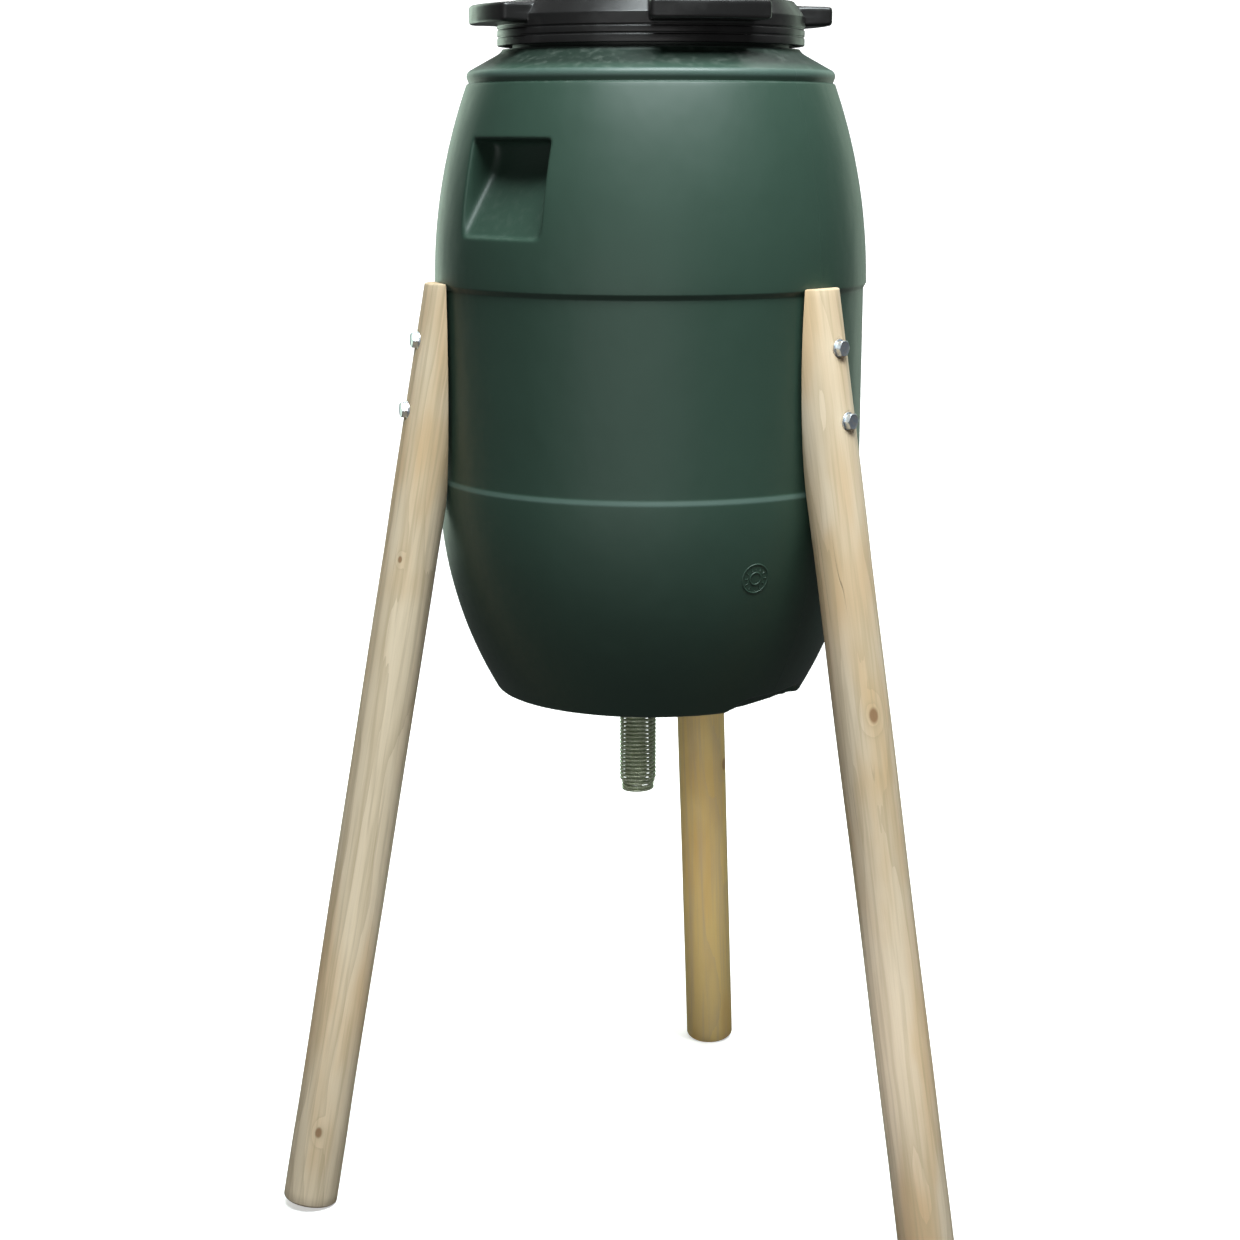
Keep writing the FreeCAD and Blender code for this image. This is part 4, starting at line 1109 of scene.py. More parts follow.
def ring_outline():
    """Section of the ring, round from the bore's foot, up the outside and back down the bore."""
    corners = [(RING_BORE_R, RING_LOW_Z + 0.6 * MM), (RING_BORE_R + 0.6 * MM, RING_LOW_Z),
               (RING_R, RING_LOW_Z, 1.2 * MM)]
    for rise in GROOVE_RISES:
        low = RING_LOW_Z + rise * MM
        corners += [(RING_R, low, 0.4 * MM), (RING_R - 0.9 * MM, low + 0.5 * MM, 0.4 * MM),
                    (RING_R - 0.9 * MM, low + 1.7 * MM, 0.4 * MM), (RING_R, low + 2.2 * MM, 0.4 * MM)]
    slope_step = [RING_R - (RING_R - RING_TOP_R) * share for share in SLOPE_SHARES]
    slope = [(r, RING_SHOULDER_Z + (RING_R - r) * SLOPE_RISE) for r in slope_step]
    skirt = [(RING_R, z) for z in np.concatenate([
        heights(LUG_LOW_Z - 1.4 * MM, LUG_LOW_Z + 2.6 * MM, 0.4 * MM),
        heights(LUG_LOW_Z + 3.4 * MM, RING_SHOULDER_Z - 1.5 * MM, 1 * MM)])]
    corners += [*skirt, (RING_R, RING_SHOULDER_Z, 1.5 * MM), *slope, (RING_TOP_R, RING_TOP_Z, 1.2 * MM),
                (RING_FLANGE_R + 3 * MM, RING_TOP_Z), (RING_FLANGE_R, RING_TOP_Z, 1.2 * MM),
                (RING_FLANGE_R, RING_FLANGE_LOW_Z, 0.8 * MM),
                (FLANGE_ROOT_R, RING_FLANGE_LOW_Z, 1 * MM), (RING_BORE_R, BORE_TOP_Z, 1 * MM)]
    return spaced(rounded(corners, 4), 9 * MM)


ring_section = ring_outline()
print("ring section points:", len(ring_section))


# %% Ring grid lines and lug field
def ring_lines():
    """Azimuths of the ring's grid lines, packed at the lugs' sides."""
    steps = np.array([-3.2, -2.2, -1.6, -1.15, -0.8, -0.5, -0.25, 0, 0.2, 0.45, 0.8, 1.3, 2.0])
    sides = [c + s * (LUG_HALF + d) for c in LUG_AZIMUTHS for s in (-1, 1) for d in steps]
    plain = [a for a in np.arange(0, 360, 3.0)
             if all(abs(abs((a - c + 180) % 360 - 180) - LUG_HALF) > 4 for c in LUG_AZIMUTHS)]
    return np.sort(np.concatenate([sides, plain]) % 360)


def lug_field(points, azimuth, ring_r):
    """Distance outside the ring and one of its lugs."""
    out, across, z = local_places(points, azimuth)
    radius = np.hypot(out, across)
    swing = np.degrees(np.arctan2(across, out))
    side = radius * np.sin(np.radians(np.clip(np.abs(swing) - LUG_HALF, -30, 30)))
    draft = 0.02 * (radius - RING_R)
    flat = np.abs(z - (LUG_HIGH_Z + LUG_LOW_Z) / 2) - (LUG_HIGH_Z - LUG_LOW_Z) / 2 + draft
    lug = soft_max(soft_max(side + draft, radius - LUG_OUT_R, 6 * MM), flat, 4 * MM)
    body = radius - np.interp(z, *ring_r)
    return -soft_max(-lug, -body, 2 * MM)


ring_azimuths = ring_lines()
print("ring grid lines:", len(ring_azimuths))

# %% Screw ring mesh
turns = np.radians(ring_azimuths - 90)
ring_rows = lathe(ring_section, turns)
outer_count = int(np.argmax(ring_section[:, 1] > RING_TOP_Z - 0.1 * MM)) + 1
skin = ring_section[:outer_count]
skin = skin[skin[:, 1] > RING_LOW_Z + 1 * MM]
skin = skin[np.argsort(skin[:, 1], kind="stable")]
flat_ring = ring_rows.reshape(-1, 3)
on_skin = np.repeat(np.arange(len(ring_section)) < outer_count, len(turns))
for azimuth in LUG_AZIMUTHS:
    out, across, z = local_places(flat_ring, azimuth)
    radius = np.hypot(out, across)
    swing = np.abs(np.degrees(np.arctan2(across, out)))
    near = on_skin & (swing < LUG_HALF + 3) & (z > LUG_LOW_Z - 2 * MM) & (z < LUG_HIGH_Z + 1.5 * MM)
    inward = (np.array([AXIS_X, AXIS_Y, 0]) - flat_ring[near]) * [1, 1, 0]
    inward /= np.linalg.norm(inward, axis=1)[:, None]
    flat_ring[near] = slide(flat_ring[near], inward,
                            lambda p: lug_field(p, azimuth, (skin[:, 1], skin[:, 0])), 45 * MM, 3 * MM)
ring_mesh = rows_mesh("screw_ring", flat_ring.reshape(ring_rows.shape), close_rows=True)
new_piece("screw_ring", ring_mesh, "lid_ring", LID_BLACK, ["lid_ring"])
print("ring faces:", len(ring_mesh.polygons))

# %% [markdown]
# ## The inner lid and its seal
# Under the ring lies a dished disc, which the ring presses onto a rubber seal on the barrel's rim. Its
# floor is stiffened by eight tapered ribs and two round ones, raised straight from the turned grid.

# %% Inner lid section
disc_low, disc_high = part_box("inner_lid")
SPIGOT_R = MOUTH_R - 0.3 * MM
FLANGE_LOW_Z = disc_high.z - 3 * MM
FLOOR_Z = disc_low.z + 3 * MM
RIB_HEIGHT, RIB_HALF, RIB_COUNT = 4 * MM, 1.5, 8
DISH_R = SPIGOT_R - 2.5 * MM
RIB_SPACING = 360 / RIB_COUNT   # degrees


def disc_outline():
    """Section of the inner lid, from the middle of its underside round to the middle of its floor."""
    corners = [(4 * MM, disc_low.z), (SPIGOT_R, disc_low.z, 1.2 * MM), (SPIGOT_R, FLANGE_LOW_Z, 0.6 * MM),
               (NECK_R, FLANGE_LOW_Z, 0.8 * MM), (NECK_R, disc_high.z, 1 * MM),
               (DISH_R, disc_high.z, 1 * MM), (DISH_R, FLOOR_Z, 2 * MM)]
    for middle in (86 * MM, 40 * MM):
        corners += [(middle + 1.6 * MM, FLOOR_Z, 0.8 * MM), (middle + 1.0 * MM, FLOOR_Z + 3 * MM, 0.7 * MM),
                    (middle - 1.0 * MM, FLOOR_Z + 3 * MM, 0.7 * MM), (middle - 1.6 * MM, FLOOR_Z, 0.8 * MM)]
    corners += [(12 * MM, FLOOR_Z, 1 * MM), (10 * MM, FLOOR_Z + 2.5 * MM, 1 * MM),
                (4 * MM, FLOOR_Z + 2.5 * MM)]
    return spaced(rounded(corners, 4), 7 * MM)


def disc_lines():
    """Azimuths of the inner lid's grid lines, packed at its ribs."""
    steps = np.array([-1.5, -1.15, -0.85, -0.55, 0, 0.55, 0.85, 1.15, 1.5]) * RIB_HALF
    ribs = [k * RIB_SPACING + d for k in range(RIB_COUNT) for d in steps]
    plain = [a for a in np.arange(0, 360, 4.5)
             if min(a % RIB_SPACING, RIB_SPACING - a % RIB_SPACING) > 3]
    return np.sort(np.concatenate([ribs, plain]) % 360)


disc_azimuths = disc_lines()
print("inner lid grid lines:", len(disc_azimuths))

# %% Inner lid mesh
disc_rows = lathe(disc_outline(), np.radians(disc_azimuths))
from_rib = np.abs((disc_azimuths + RIB_SPACING / 2) % RIB_SPACING - RIB_SPACING / 2)
rib = np.clip((1.15 * RIB_HALF - from_rib) / (0.6 * RIB_HALF), 0, 1)
radius = np.hypot(disc_rows[..., 0] - AXIS_X, disc_rows[..., 1] - AXIS_Y)
ends = np.clip((radius - 12 * MM) / (3 * MM), 0, 1) * np.clip((DISH_R - 1 * MM - radius) / (2 * MM), 0, 1)
on_floor = (disc_rows[..., 2] > FLOOR_Z - 0.1 * MM) & (radius < DISH_R)
raised = FLOOR_Z + RIB_HEIGHT * (rib * rib * (3 - 2 * rib))[None, :] * ends
disc_rows[..., 2] = np.where(on_floor, np.maximum(disc_rows[..., 2], raised), disc_rows[..., 2])
disc_mesh = rows_mesh("inner_lid_disc", disc_rows, caps=True)
new_piece("inner_lid_disc", disc_mesh, "inner_lid", LID_BLACK, ["inner_lid"])
print("inner lid faces:", len(disc_mesh.polygons))

# %% Rim seal
seal_low, seal_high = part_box("lid_seal")
seal_r = (seal_high.x - seal_low.x) / 2
seal_in_r = MOUTH_R + 0.5 * MM
seal_section = rounded([(seal_in_r + 3 * MM, seal_low.z), (seal_r, seal_low.z, 0.8 * MM),
                        (seal_r, seal_high.z, 0.8 * MM), (seal_in_r, seal_high.z, 0.8 * MM),
                        (seal_in_r, seal_low.z, 0.8 * MM), (seal_in_r + 2.9 * MM, seal_low.z)])
even_turns = np.linspace(0, 2 * math.pi, 96, endpoint=False)
seal_mesh = rows_mesh("rim_seal", lathe(seal_section, even_turns), close_rows=True)
new_piece("rim_seal", seal_mesh, "inner_lid", SEAL_RUBBER, ["lid_seal"])
print("seal faces:", len(seal_mesh.polygons))

# %% [markdown]
# ## The poles
# Each pole is a straight round stick that leans in and is sawn flat where it meets the barrel. Each
# level of the mesh is a ring: the round part carries evenly spread points, and the sawn part has its
# own, so that the saw edge is a clean line with a small eased corner. The wood grain is worked out in
# the pole's own frame, with Z along it, so its finish is given that frame's origin and axes.

# %% Pole section
POLE_R = 25.5 * MM
SPLAY = math.radians(10)
SCARF_R = BELLY_R + 0.2 * MM
POLE_TOP_THICK = 14 * MM
POLE_TOP_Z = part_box("leg_left")[1].z
POLE_HALF = POLE_R / math.cos(SPLAY)            # half of a level section, away from the barrel
POLE_FOOT_R = SCARF_R + POLE_TOP_THICK - POLE_HALF + math.tan(SPLAY) * POLE_TOP_Z
FOOT_CHAMFER = 2 * MM
FOOT_MID_Z = (POLE_R - FOOT_CHAMFER) * math.sin(SPLAY)
FOOT_MID_R = POLE_FOOT_R - FOOT_MID_Z * math.tan(SPLAY)
BOLT_HEIGHTS = (POLE_TOP_Z - 51 * MM, POLE_TOP_Z - 114 * MM)
SPOT_R, SPOT_DEPTH = 9.5 * MM, 2 * MM
FINE_TURN = math.radians(25)                    # finely spaced lines each side of the bolts
SIDE_LINES, FLAT_LINES = 20, 15


def pole_surface_r(z):
    """Outermost line of a pole, from the barrel's axis."""
    return POLE_FOOT_R - math.tan(SPLAY) * z + POLE_HALF


def pole_ring(z, inset):
    """One level of a pole: outward and across places of its points; inset shrinks it."""
    middle = POLE_FOOT_R - math.tan(SPLAY) * z
    half_out, half_across, scarf = POLE_HALF - inset, POLE_R - inset, SCARF_R + inset
    meet = (scarf - middle) / half_out
    edge = math.pi if meet <= -1 else math.acos(meet)
    split = min(math.radians(168), edge - 0.02)
    fine = np.linspace(0, FINE_TURN, 14)
    side = FINE_TURN + (split - FINE_TURN) * np.linspace(0, 1, SIDE_LINES + 1)[1:]
    half_turns = np.concatenate([fine, side])
    turns_round = np.concatenate([-half_turns[:0:-1], half_turns])
    out = middle + half_out * np.cos(turns_round)
    across = half_across * np.sin(turns_round)
    last = half_across * math.sin(split)
    if edge > split + 0.03:
        turns_flat = np.linspace(split, 2 * math.pi - split, FLAT_LINES + 2)[1:-1]
        flat_out = np.maximum(middle + half_out * np.cos(turns_flat), scarf)
        flat_across = half_across * np.sin(turns_flat)
    else:
        flat_across = np.linspace(last - 0.5 * MM, 0.5 * MM - last, FLAT_LINES)
        flat_out = np.full(FLAT_LINES, scarf)
    return np.concatenate([out, flat_out]), np.concatenate([across, flat_across])


print(f"pole top {POLE_TOP_Z:.3f} m, foot {POLE_FOOT_R:.3f} m from the axis")


# %% Pole levels and bolt seats
def pole_levels():
    """Heights of the rings, packed at the start of the flat and at the bolts."""
    start = (POLE_FOOT_R - POLE_HALF - SCARF_R) / math.tan(SPLAY)
    levels = [*heights(60 * MM, start - 8 * MM, 12 * MM),
              *heights(start - 3 * MM, start + 14 * MM, 1.4 * MM),
              *heights(start + 18 * MM, BOLT_HEIGHTS[1] - 15 * MM, 8 * MM)]
    for z in sorted(BOLT_HEIGHTS):
        levels += list(heights(z - 11 * MM, z + 11 * MM, 0.9 * MM))
    levels += [*heights(BOLT_HEIGHTS[1] + 15 * MM, BOLT_HEIGHTS[0] - 15 * MM, 8 * MM),
               *heights(BOLT_HEIGHTS[0] + 15 * MM, POLE_TOP_Z - 1.4 * MM, 7 * MM)]
    return np.unique(np.round(levels, 5))


def spot_cut(out, across, z):
    """Saws the small flat under each bolt's washer."""
    for height in BOLT_HEIGHTS:
        reach = np.hypot(across, z - height)
        cut = np.clip((SPOT_R - reach) / (0.9 * MM), 0, 1)
        seat = pole_surface_r(height) - SPOT_DEPTH
        out = np.where((cut > 0) & (out > seat), out + (seat - out) * cut, out)
    return out


print("pole levels:", len(pole_levels()))

# %% Pole mesh
FOOT_RINGS = ((2.05, 0.0), (1.75, 0.1), (0.9, 0.9), (0.3, 1.6), (0.05, 2.3), (0.03, 12), (0.0, 26))
TOP_RINGS = ((0.1, 0.7), (0.4, 0.25), (1.0, 0.0))       # both: inset and distance from the end, in mm
WAVE, WAVE_SHAVE = 0.00016, 0.00033             # unevenness, and what keeps it inside the frame's pole
WAVE_FIRST, WAVE_SECOND = 0.043, 0.071          # metres for each radian of the two waves
WAVE_LOW_Z, WAVE_HIGH_Z, WAVE_FADE = 0.05, 0.68, 0.05
def pole_mesh(name, azimuth, seed):
    """Mesh of one pole beside the barrel."""
    rings = []
    foot_out, foot_across = pole_ring(0.0, 0.0)
    lean = np.array([-math.sin(SPLAY), 0, math.cos(SPLAY)])
    tilt_r, tilt_z = math.cos(SPLAY), math.sin(SPLAY)
    turn = np.arctan2(foot_across / POLE_R, (foot_out - POLE_FOOT_R) / POLE_HALF)
    foot = np.array([FOOT_MID_R, 0, FOOT_MID_Z])
    for inset, along in FOOT_RINGS:
        reach = POLE_R - inset * MM
        ring = foot + np.stack([reach * np.cos(turn) * tilt_r, reach * np.sin(turn),
                                reach * np.cos(turn) * tilt_z], axis=-1) + along * MM * lean
        rings.append(ring)
    for z in pole_levels():
        out, across = pole_ring(z, 0.0)
        out = spot_cut(out, across, z)
        rings.append(np.stack([out, across, np.full(len(out), z)], axis=-1))
    for inset, drop in TOP_RINGS:
        out, across = pole_ring(POLE_TOP_Z - drop * MM, inset * MM)
        rings.append(np.stack([out, across, np.full(len(out), POLE_TOP_Z - drop * MM)], axis=-1))
    rows = np.array(rings)
    height = rows[..., 2]
    middle_r = POLE_FOOT_R - math.tan(SPLAY) * height
    waves = np.sin(height / WAVE_FIRST + seed) + np.sin(height / WAVE_SECOND + 2 * seed)
    wander = WAVE * waves - WAVE_SHAVE
    free = (np.clip((height - WAVE_LOW_Z) / WAVE_FADE, 0, 1)
            * np.clip((WAVE_HIGH_Z - height) / WAVE_FADE, 0, 1))
    from_middle = np.stack([rows[..., 0] - middle_r, rows[..., 1]], axis=-1)
    rows[..., :2] += from_middle * (wander * free / POLE_R)[..., None]
    out, across = local_frame(azimuth)
    placed = (np.array([AXIS_X, AXIS_Y, 0.0]) + rows[..., :1] * out + rows[..., 1:2] * across
              + rows[..., 2:] * np.array([0, 0, 1.0]))
    return rows_mesh(name, placed, caps=True, sharp=math.radians(34))


def pole_frame(azimuth):
    """Middle of a pole's foot and its three axes: outward, across and along the wood."""
    out = heading(azimuth)
    across = Vector((-out.y, out.x, 0))
    up = Vector((0, 0, 1))
    lean = up * math.cos(SPLAY) - out * math.sin(SPLAY)
    foot = Vector((AXIS_X, AXIS_Y, 0)) + out * FOOT_MID_R + up * FOOT_MID_Z
    return foot, [out * math.cos(SPLAY) + up * math.sin(SPLAY), across, lean]


print("pole mesh and grain frame ready")

# %% The three poles
for number, (side, azimuth) in enumerate(LEG_AZIMUTHS.items()):
    mesh = pole_mesh(f"pole_{side}", azimuth, 1.3 + 2.1 * number)
    wood = pine_finish(f"pine_{side}", pole_frame(azimuth), *PINES[side])
    new_piece(mesh.name, mesh, "feeder", wood, [f"leg_{side}"])
    print(mesh.name, "faces:", len(mesh.polygons))

# %% [markdown]
# ## Bolts, washers and nuts
# A forged hexagon is the common part of a prism and a turned cone, which cuts the six corners into
# curves. Taking the smaller of the two radii at every angle gives just that shape. Each fastener is
# turned about its own bolt line, which points straight out of the barrel.

# %% Bolt lines
BOLT_R = 4 * MM
THREAD_ROOT_R = 3.3 * MM
HEX_FLATS, HEAD_HEIGHT, NUT_HEIGHT = 13 * MM, 5.3 * MM, 6.5 * MM
WASHER_R, WASHER_THICK = 8 * MM, 1.6 * MM
PENNY_R, PENNY_THICK = 12.5 * MM, 1.5 * MM
PITCH = 1.25 * MM
BOLT_THREADS, BOLT_POKE = 15, 3 * MM            # turns of thread, and the end past the nut
HEX_TURNS = np.radians(np.arange(0, 360, 5.0))


def band_inner_r(z):
    """Inside radius of the band between the domes."""
    share = (z - BAND_LOW[1]) / (BAND_HIGH[1] - BAND_LOW[1])
    return BAND_LOW[0] + share * (BAND_HIGH[0] - BAND_LOW[0]) - WALL


def penny_face_r(z):
    """Outer face of the wide washer inside the round wall."""
    return math.sqrt(band_inner_r(z - PENNY_R) ** 2 - PENNY_R ** 2) - 0.1 * MM


def along_bolt(profile, z, azimuth, hexed=()):
    """Rows turned about a bolt line; profile is (place outward, radius), hexed marks its hex rows."""
    out, across = local_frame(azimuth)
    corner = HEX_FLATS / 2 / np.cos(np.radians((np.degrees(HEX_TURNS) % 60) - 30))
    rows = []
    for number, (place, radius) in enumerate(profile):
        reach = np.minimum(corner, radius) if number in hexed else np.full(len(HEX_TURNS), radius)
        rows.append(np.array([AXIS_X, AXIS_Y, z]) + place * out
                    + np.outer(reach * np.cos(HEX_TURNS), across)
                    + np.outer(reach * np.sin(HEX_TURNS), [0, 0, 1]))
    return np.array(rows)


print("inner washer face at", round(penny_face_r(BOLT_HEIGHTS[0]), 4), "m from the axis")


# %% Bolts
def hex_profile(low, high, both_ends):
    """Outside of a hexagon between two places, with its corners turned down."""
    flats, full = HEX_FLATS / 2, HEX_FLATS / math.sqrt(3)
    bevel = (full - flats) * math.tan(math.radians(30))
    steps = (0.0, 0.3, 0.6, 0.85, 1.0)
    top = [(high - bevel * (1 - s), full - (full - flats) * s) for s in steps]
    foot = [(low + bevel * (1 - s), full - (full - flats) * s) for s in steps[::-1]] if both_ends else \
        [(low, flats * 0.99), (low + 0.3 * MM, flats * 0.99), (low + 0.35 * MM, full)]
    return [*foot, *top]


def bolt_rows(z, azimuth):
    """Head, shank and threaded end of one bolt, from its tip outwards."""
    seat = pole_surface_r(z) - SPOT_DEPTH + WASHER_THICK
    tip = penny_face_r(z) - PENNY_THICK - NUT_HEIGHT - BOLT_POKE
    profile = [(tip, 2.6 * MM), (tip + 0.2 * MM, 3.0 * MM), (tip + 1.2 * MM, BOLT_R)]
    for thread in range(BOLT_THREADS):
        start = tip + 1.3 * MM + thread * PITCH
        profile += [(start, BOLT_R), (start + 0.55 * PITCH, THREAD_ROOT_R), (start + 0.95 * PITCH, BOLT_R)]
    profile.append((seat - 0.01 * MM, BOLT_R))
    first = len(profile)
    profile += hex_profile(seat, seat + HEAD_HEIGHT, False)
    hexed = set(range(first, len(profile)))
    end = seat + HEAD_HEIGHT
    profile += [(end, 6.1 * MM), (end - 0.05 * MM, 5.7 * MM), (end - 0.3 * MM, 5.2 * MM),
                (end - 0.35 * MM, 2.4 * MM)]
    return along_bolt(profile, z, azimuth, hexed)


print("bolt section ready")


# %% Nuts and washers
def nut_rows(z, azimuth):
    """One nut, with its corners turned down at both faces and a countersunk bore."""
    high = penny_face_r(z) - PENNY_THICK
    low = high - NUT_HEIGHT
    profile = hex_profile(low, high, True)
    hexed = set(range(len(profile)))
    bore = BOLT_R + 0.08 * MM
    profile += [(high, 4.9 * MM), (high - 0.8 * MM, bore), (low + 0.8 * MM, bore), (low, 4.9 * MM)]
    return along_bolt(profile, z, azimuth, hexed)


def washer_rows(low, thick, radius, z, azimuth):
    """One punched washer: rolled edge on one face, slight burr on the other."""
    bore = BOLT_R + 0.25 * MM
    high = low + thick
    profile = [(low, bore + 0.2 * MM), (low, radius - 0.2 * MM), (low + 0.2 * MM, radius),
               (high - 0.55 * MM, radius), (high - 0.2 * MM, radius - 0.15 * MM),
               (high, radius - 0.6 * MM), (high, bore + 0.4 * MM), (high - 0.35 * MM, bore),
               (low + 0.2 * MM, bore)]
    return along_bolt(profile, z, azimuth)


print("nut and washer sections ready")

# %% Fasteners on every leg
HEX_SHARP = math.radians(24)


def joined(name, grids, close_rows, sharp):
    """One mesh from several grids, each a closed solid of its own."""
    verts, faces = [], []
    for grid in grids:
        part = rows_mesh("part", grid, close_rows=close_rows, caps=not close_rows)
        first = len(verts)
        verts += [v.co[:] for v in part.vertices]
        faces += [[first + v for v in p.vertices] for p in part.polygons]
        bpy.data.meshes.remove(part)
    return smooth_mesh(name, verts, faces, sharp)


for side, azimuth in LEG_AZIMUTHS.items():
    grids = {
        "bolts": ([bolt_rows(z, azimuth) for z in BOLT_HEIGHTS], False),
        "nuts": ([nut_rows(z, azimuth) for z in BOLT_HEIGHTS], True),
        "outer_washers": ([washer_rows(pole_surface_r(z) - SPOT_DEPTH, WASHER_THICK, WASHER_R, z, azimuth)
                           for z in BOLT_HEIGHTS], True),
        "inner_washers": ([washer_rows(penny_face_r(z) - PENNY_THICK, PENNY_THICK, PENNY_R, z, azimuth)
                           for z in BOLT_HEIGHTS], True),
    }
    for name, (rows, closed) in grids.items():
        mesh = joined(f"{name}_{side}_plated", rows, closed, HEX_SHARP)
        new_piece(mesh.name, mesh, "feeder", ZINC, [f"{name}_{side}"])
print("fasteners made for", len(LEG_AZIMUTHS), "legs")

# %% [markdown]
# ## The feed spring
# The spring is one length of wire: a tight helix, slightly narrower in its last turns, whose top end
# crosses to the middle, rises and hooks over the pin. One list of points along that wire, swept with
# a round section, gives coil, bridge and hook without a joint.

# %% Spring wire
WIRE_R = 1.5 * MM
COIL_R = 17.5 * MM - WIRE_R
TIP_IN, TIP_LENGTH = 2 * MM, 9 * MM
COIL_PITCH = 3.9 * MM
CLOSED_LAPS = 1.6               # touching turns at the lower end
TURN_STEPS = 28
spring_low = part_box("feed_spring")[0]
COIL_LOW_Z = spring_low.z + WIRE_R
COIL_HIGH_Z = PIN_Z - 10.15 * MM
HOOK_R, HOOK_Z = 4.5 * MM, PIN_Z - 0.4 * MM


def wire_points():
    """Places along the wire from its lower end to the end of its hook, from the barrel's axis."""
    closed_rise = CLOSED_LAPS * 2.02 * WIRE_R
    turns_made = CLOSED_LAPS + (COIL_HIGH_Z - COIL_LOW_Z - closed_rise) / COIL_PITCH
    laps = np.linspace(0, turns_made, int(turns_made * TURN_STEPS))
    z = COIL_LOW_Z + np.interp(laps, [0, CLOSED_LAPS, turns_made],
                               [0, closed_rise, COIL_HIGH_Z - COIL_LOW_Z])
    narrow = np.clip((spring_low.z + TIP_LENGTH + 4 * MM - z) / (4 * MM), 0, 1)
    reach = COIL_R - TIP_IN * narrow
    angle = math.pi / 2 + (laps - turns_made) * 2 * math.pi
    coil = np.stack([reach * np.cos(angle), reach * np.sin(angle), z], axis=-1)
    start, hook = coil[-1], np.array([0, HOOK_R, HOOK_Z])
    lead = start + np.array([-10 * MM, 0, 0.5 * MM])
    rise = hook - np.array([0, 0, 9 * MM])
    share = np.linspace(0, 1, 18)[1:-1, None]
    bridge = ((1 - share) ** 3 * start + 3 * share * (1 - share) ** 2 * lead
              + 3 * share ** 2 * (1 - share) * rise + share ** 3 * hook)
    bend = np.linspace(0, math.radians(310), 30)
    loop = np.stack([np.zeros(len(bend)), HOOK_R * np.cos(bend), HOOK_Z + HOOK_R * np.sin(bend)], axis=-1)
    return np.concatenate([coil, bridge, loop]) + np.array([SPRING_X, SPRING_Y, 0])


wire = wire_points()
print("wire points:", len(wire))


# %% Spring swept along its wire
WIRE_SIDES = 10


def swept(name, points, radius, sides):
    """Round tube along points, with its section carried along so that it doesn't twist."""
    ahead = np.gradient(points, axis=0)
    ahead /= np.linalg.norm(ahead, axis=1)[:, None]
    side = np.cross(ahead[0], [0, 0, 1.0])
    rows = []
    ring = np.linspace(0, 2 * math.pi, sides, endpoint=False)
    for point, forward in zip(points, ahead):
        side = side - forward * (side @ forward)
        side /= np.linalg.norm(side)
        other = np.cross(forward, side)
        rows.append(point + radius * (np.outer(np.cos(ring), side) + np.outer(np.sin(ring), other)))
    return rows_mesh(name, np.array(rows), caps=True, sharp=math.radians(60))


spring_mesh = swept("feed_coil", wire, WIRE_R, WIRE_SIDES)
new_piece("feed_coil", spring_mesh, "feed_spring", GALVANISED, ["feed_spring"])
wire_length = np.linalg.norm(np.diff(wire, axis=0), axis=1).sum()
print(f"wire length {wire_length:.2f} m, faces {len(spring_mesh.polygons)}")

# %% [markdown]
# ## Bush, clamp nut and pin
# A flanged bush lines the hole in the base, and a large plastic nut clamps it from inside. The pin
# lies across the bush and carries the hook. All three are turned pieces with small rounds, and the
# nut is a hexagon whose upper corners are turned down.

# %% Bush
BUSH_BORE_R, BUSH_R, BUSH_FLANGE_R = 25 * MM, 28 * MM, 39 * MM
SPRING_AXIS = (SPRING_X, SPRING_Y)
bush_section = rounded([
    (BUSH_BORE_R + 1.5 * MM, bush_low.z), (BUSH_FLANGE_R, bush_low.z, 1.5 * MM),
    (BUSH_FLANGE_R, bush_low.z + 4 * MM, 0.6 * MM), (BUSH_R, bush_low.z + 4 * MM, 0.3 * MM),
    (BUSH_R, bush_high.z, 0.8 * MM), (BUSH_BORE_R, bush_high.z, 0.8 * MM),
    (BUSH_BORE_R, bush_low.z, 1.4 * MM), (BUSH_BORE_R + 1.45 * MM, bush_low.z)])
bush_rows = lathe(spaced(bush_section, 6 * MM), even_turns, SPRING_AXIS)
bush_mesh = rows_mesh("base_bush", bush_rows, close_rows=True)
new_piece("base_bush", bush_mesh, "feeder", BUSH_BLACK, ["spring_bush"])
print("bush faces:", len(bush_mesh.polygons))

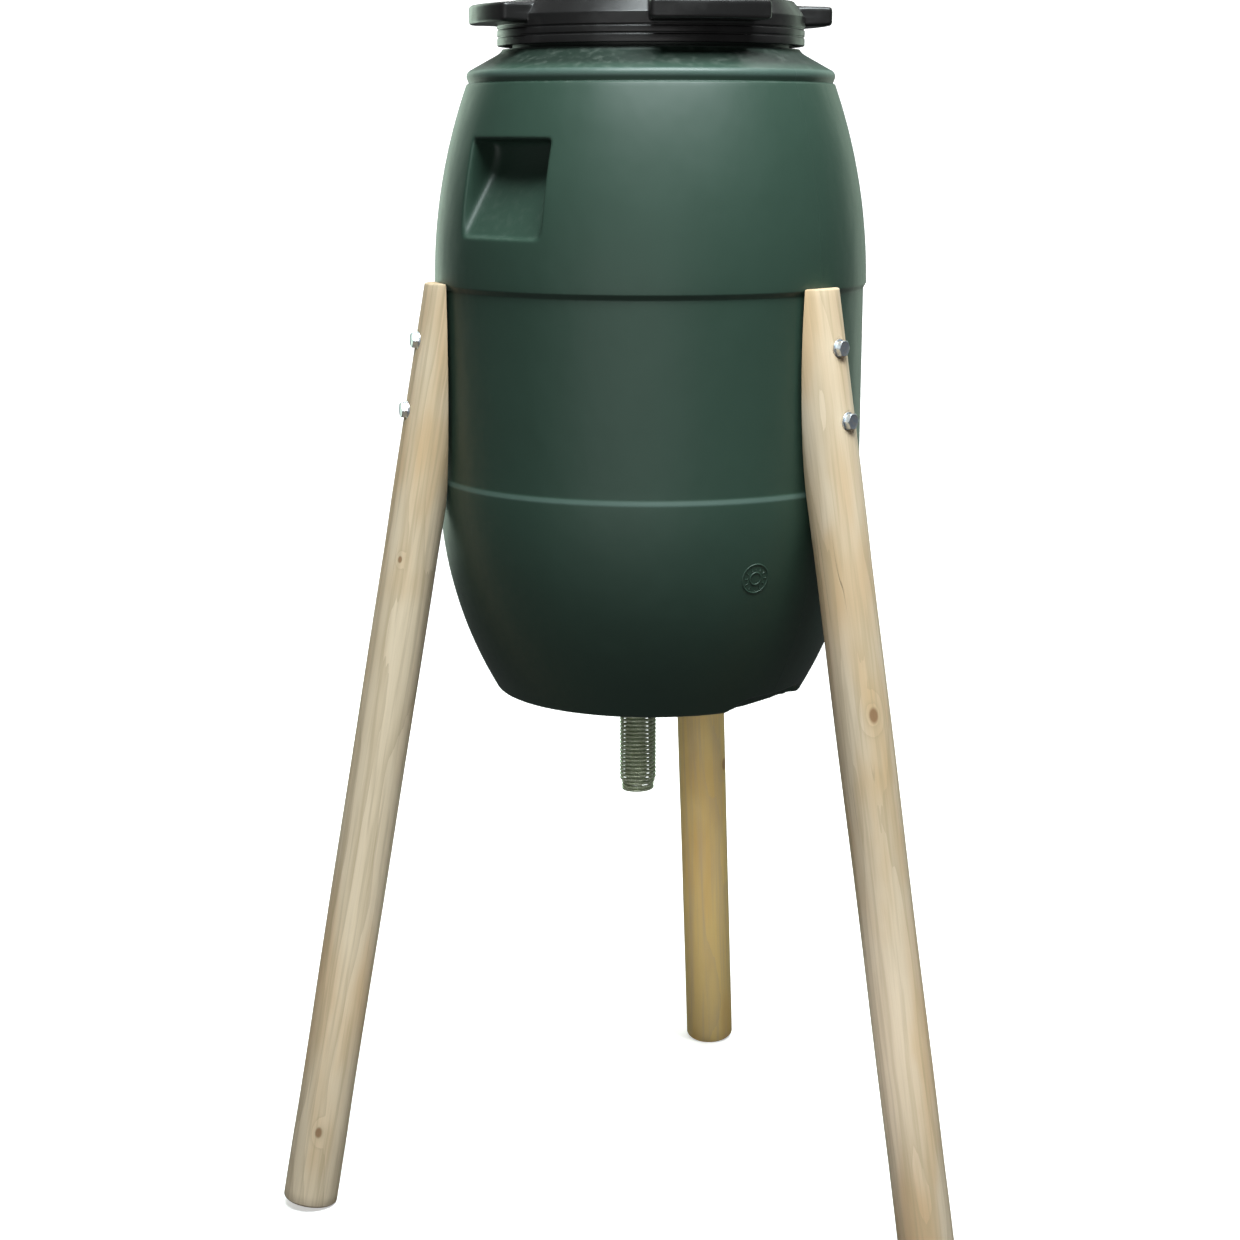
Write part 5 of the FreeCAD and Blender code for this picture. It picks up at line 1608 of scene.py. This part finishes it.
# %% Clamp nut
nut_low, nut_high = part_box("bush_nut")
NUT_FLATS = nut_high.x - nut_low.x
clamp_turns = np.radians(np.arange(0, 360, 3.0))
clamp_corner = NUT_FLATS / 2 / np.cos(np.radians((np.degrees(clamp_turns) + 30) % 60 - 30))
clamp_section = [(28.1 * MM, 0.6 * MM), (28.7 * MM, 0.0), (40.5 * MM, 0.0), (41.5 * MM, 0.6 * MM),
                 (41.5 * MM, 7.9 * MM), (39.5 * MM, 9.2 * MM), (36.2 * MM, 10 * MM), (28.7 * MM, 10 * MM),
                 (28.1 * MM, 9.4 * MM)]
clamp_rows = []
for radius, rise in clamp_section:
    in_bore = radius < 30 * MM
    reach = np.full(len(clamp_turns), radius) if in_bore else np.minimum(clamp_corner, radius)
    level = np.full(len(clamp_turns), nut_low.z + rise)
    clamp_rows.append(np.stack([SPRING_X + reach * np.cos(clamp_turns),
                                SPRING_Y + reach * np.sin(clamp_turns), level], axis=-1))
clamp_mesh = rows_mesh("clamp_nut", np.array(clamp_rows), close_rows=True, sharp=math.radians(28))
new_piece("clamp_nut", clamp_mesh, "feeder", BUSH_BLACK, ["bush_nut"])
print("clamp nut across flats", round(NUT_FLATS, 4))

# %% Hanger pin
PIN_SIDES = 24
pin_low, pin_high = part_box("hanger_pin")
PIN_R = (pin_high.z - pin_low.z) / 2
pin_profile = [(pin_low.x, 1.2 * MM), (pin_low.x, 1.8 * MM), (pin_low.x + 0.25 * MM, 2.2 * MM),
               (pin_low.x + 0.65 * MM, PIN_R)]
pin_profile += [(x, PIN_R) for x in np.linspace(pin_low.x + 4 * MM, pin_high.x - 4 * MM, 9)]
pin_profile += [(2 * SPRING_X - x, r) for x, r in pin_profile[3::-1]]
pin_ring = np.linspace(0, 2 * math.pi, PIN_SIDES, endpoint=False)
pin_rows = [np.stack([np.full(PIN_SIDES, x), SPRING_Y + r * np.cos(pin_ring),
                      PIN_Z + r * np.sin(pin_ring)], axis=-1) for x, r in pin_profile]
pin_mesh = rows_mesh("cross_pin", np.array(pin_rows), caps=True, sharp=math.radians(40))
new_piece("cross_pin", pin_mesh, "hanger_pin", PIN_STEEL, ["hanger_pin"])
print("pin length", round(pin_high.x - pin_low.x, 4))
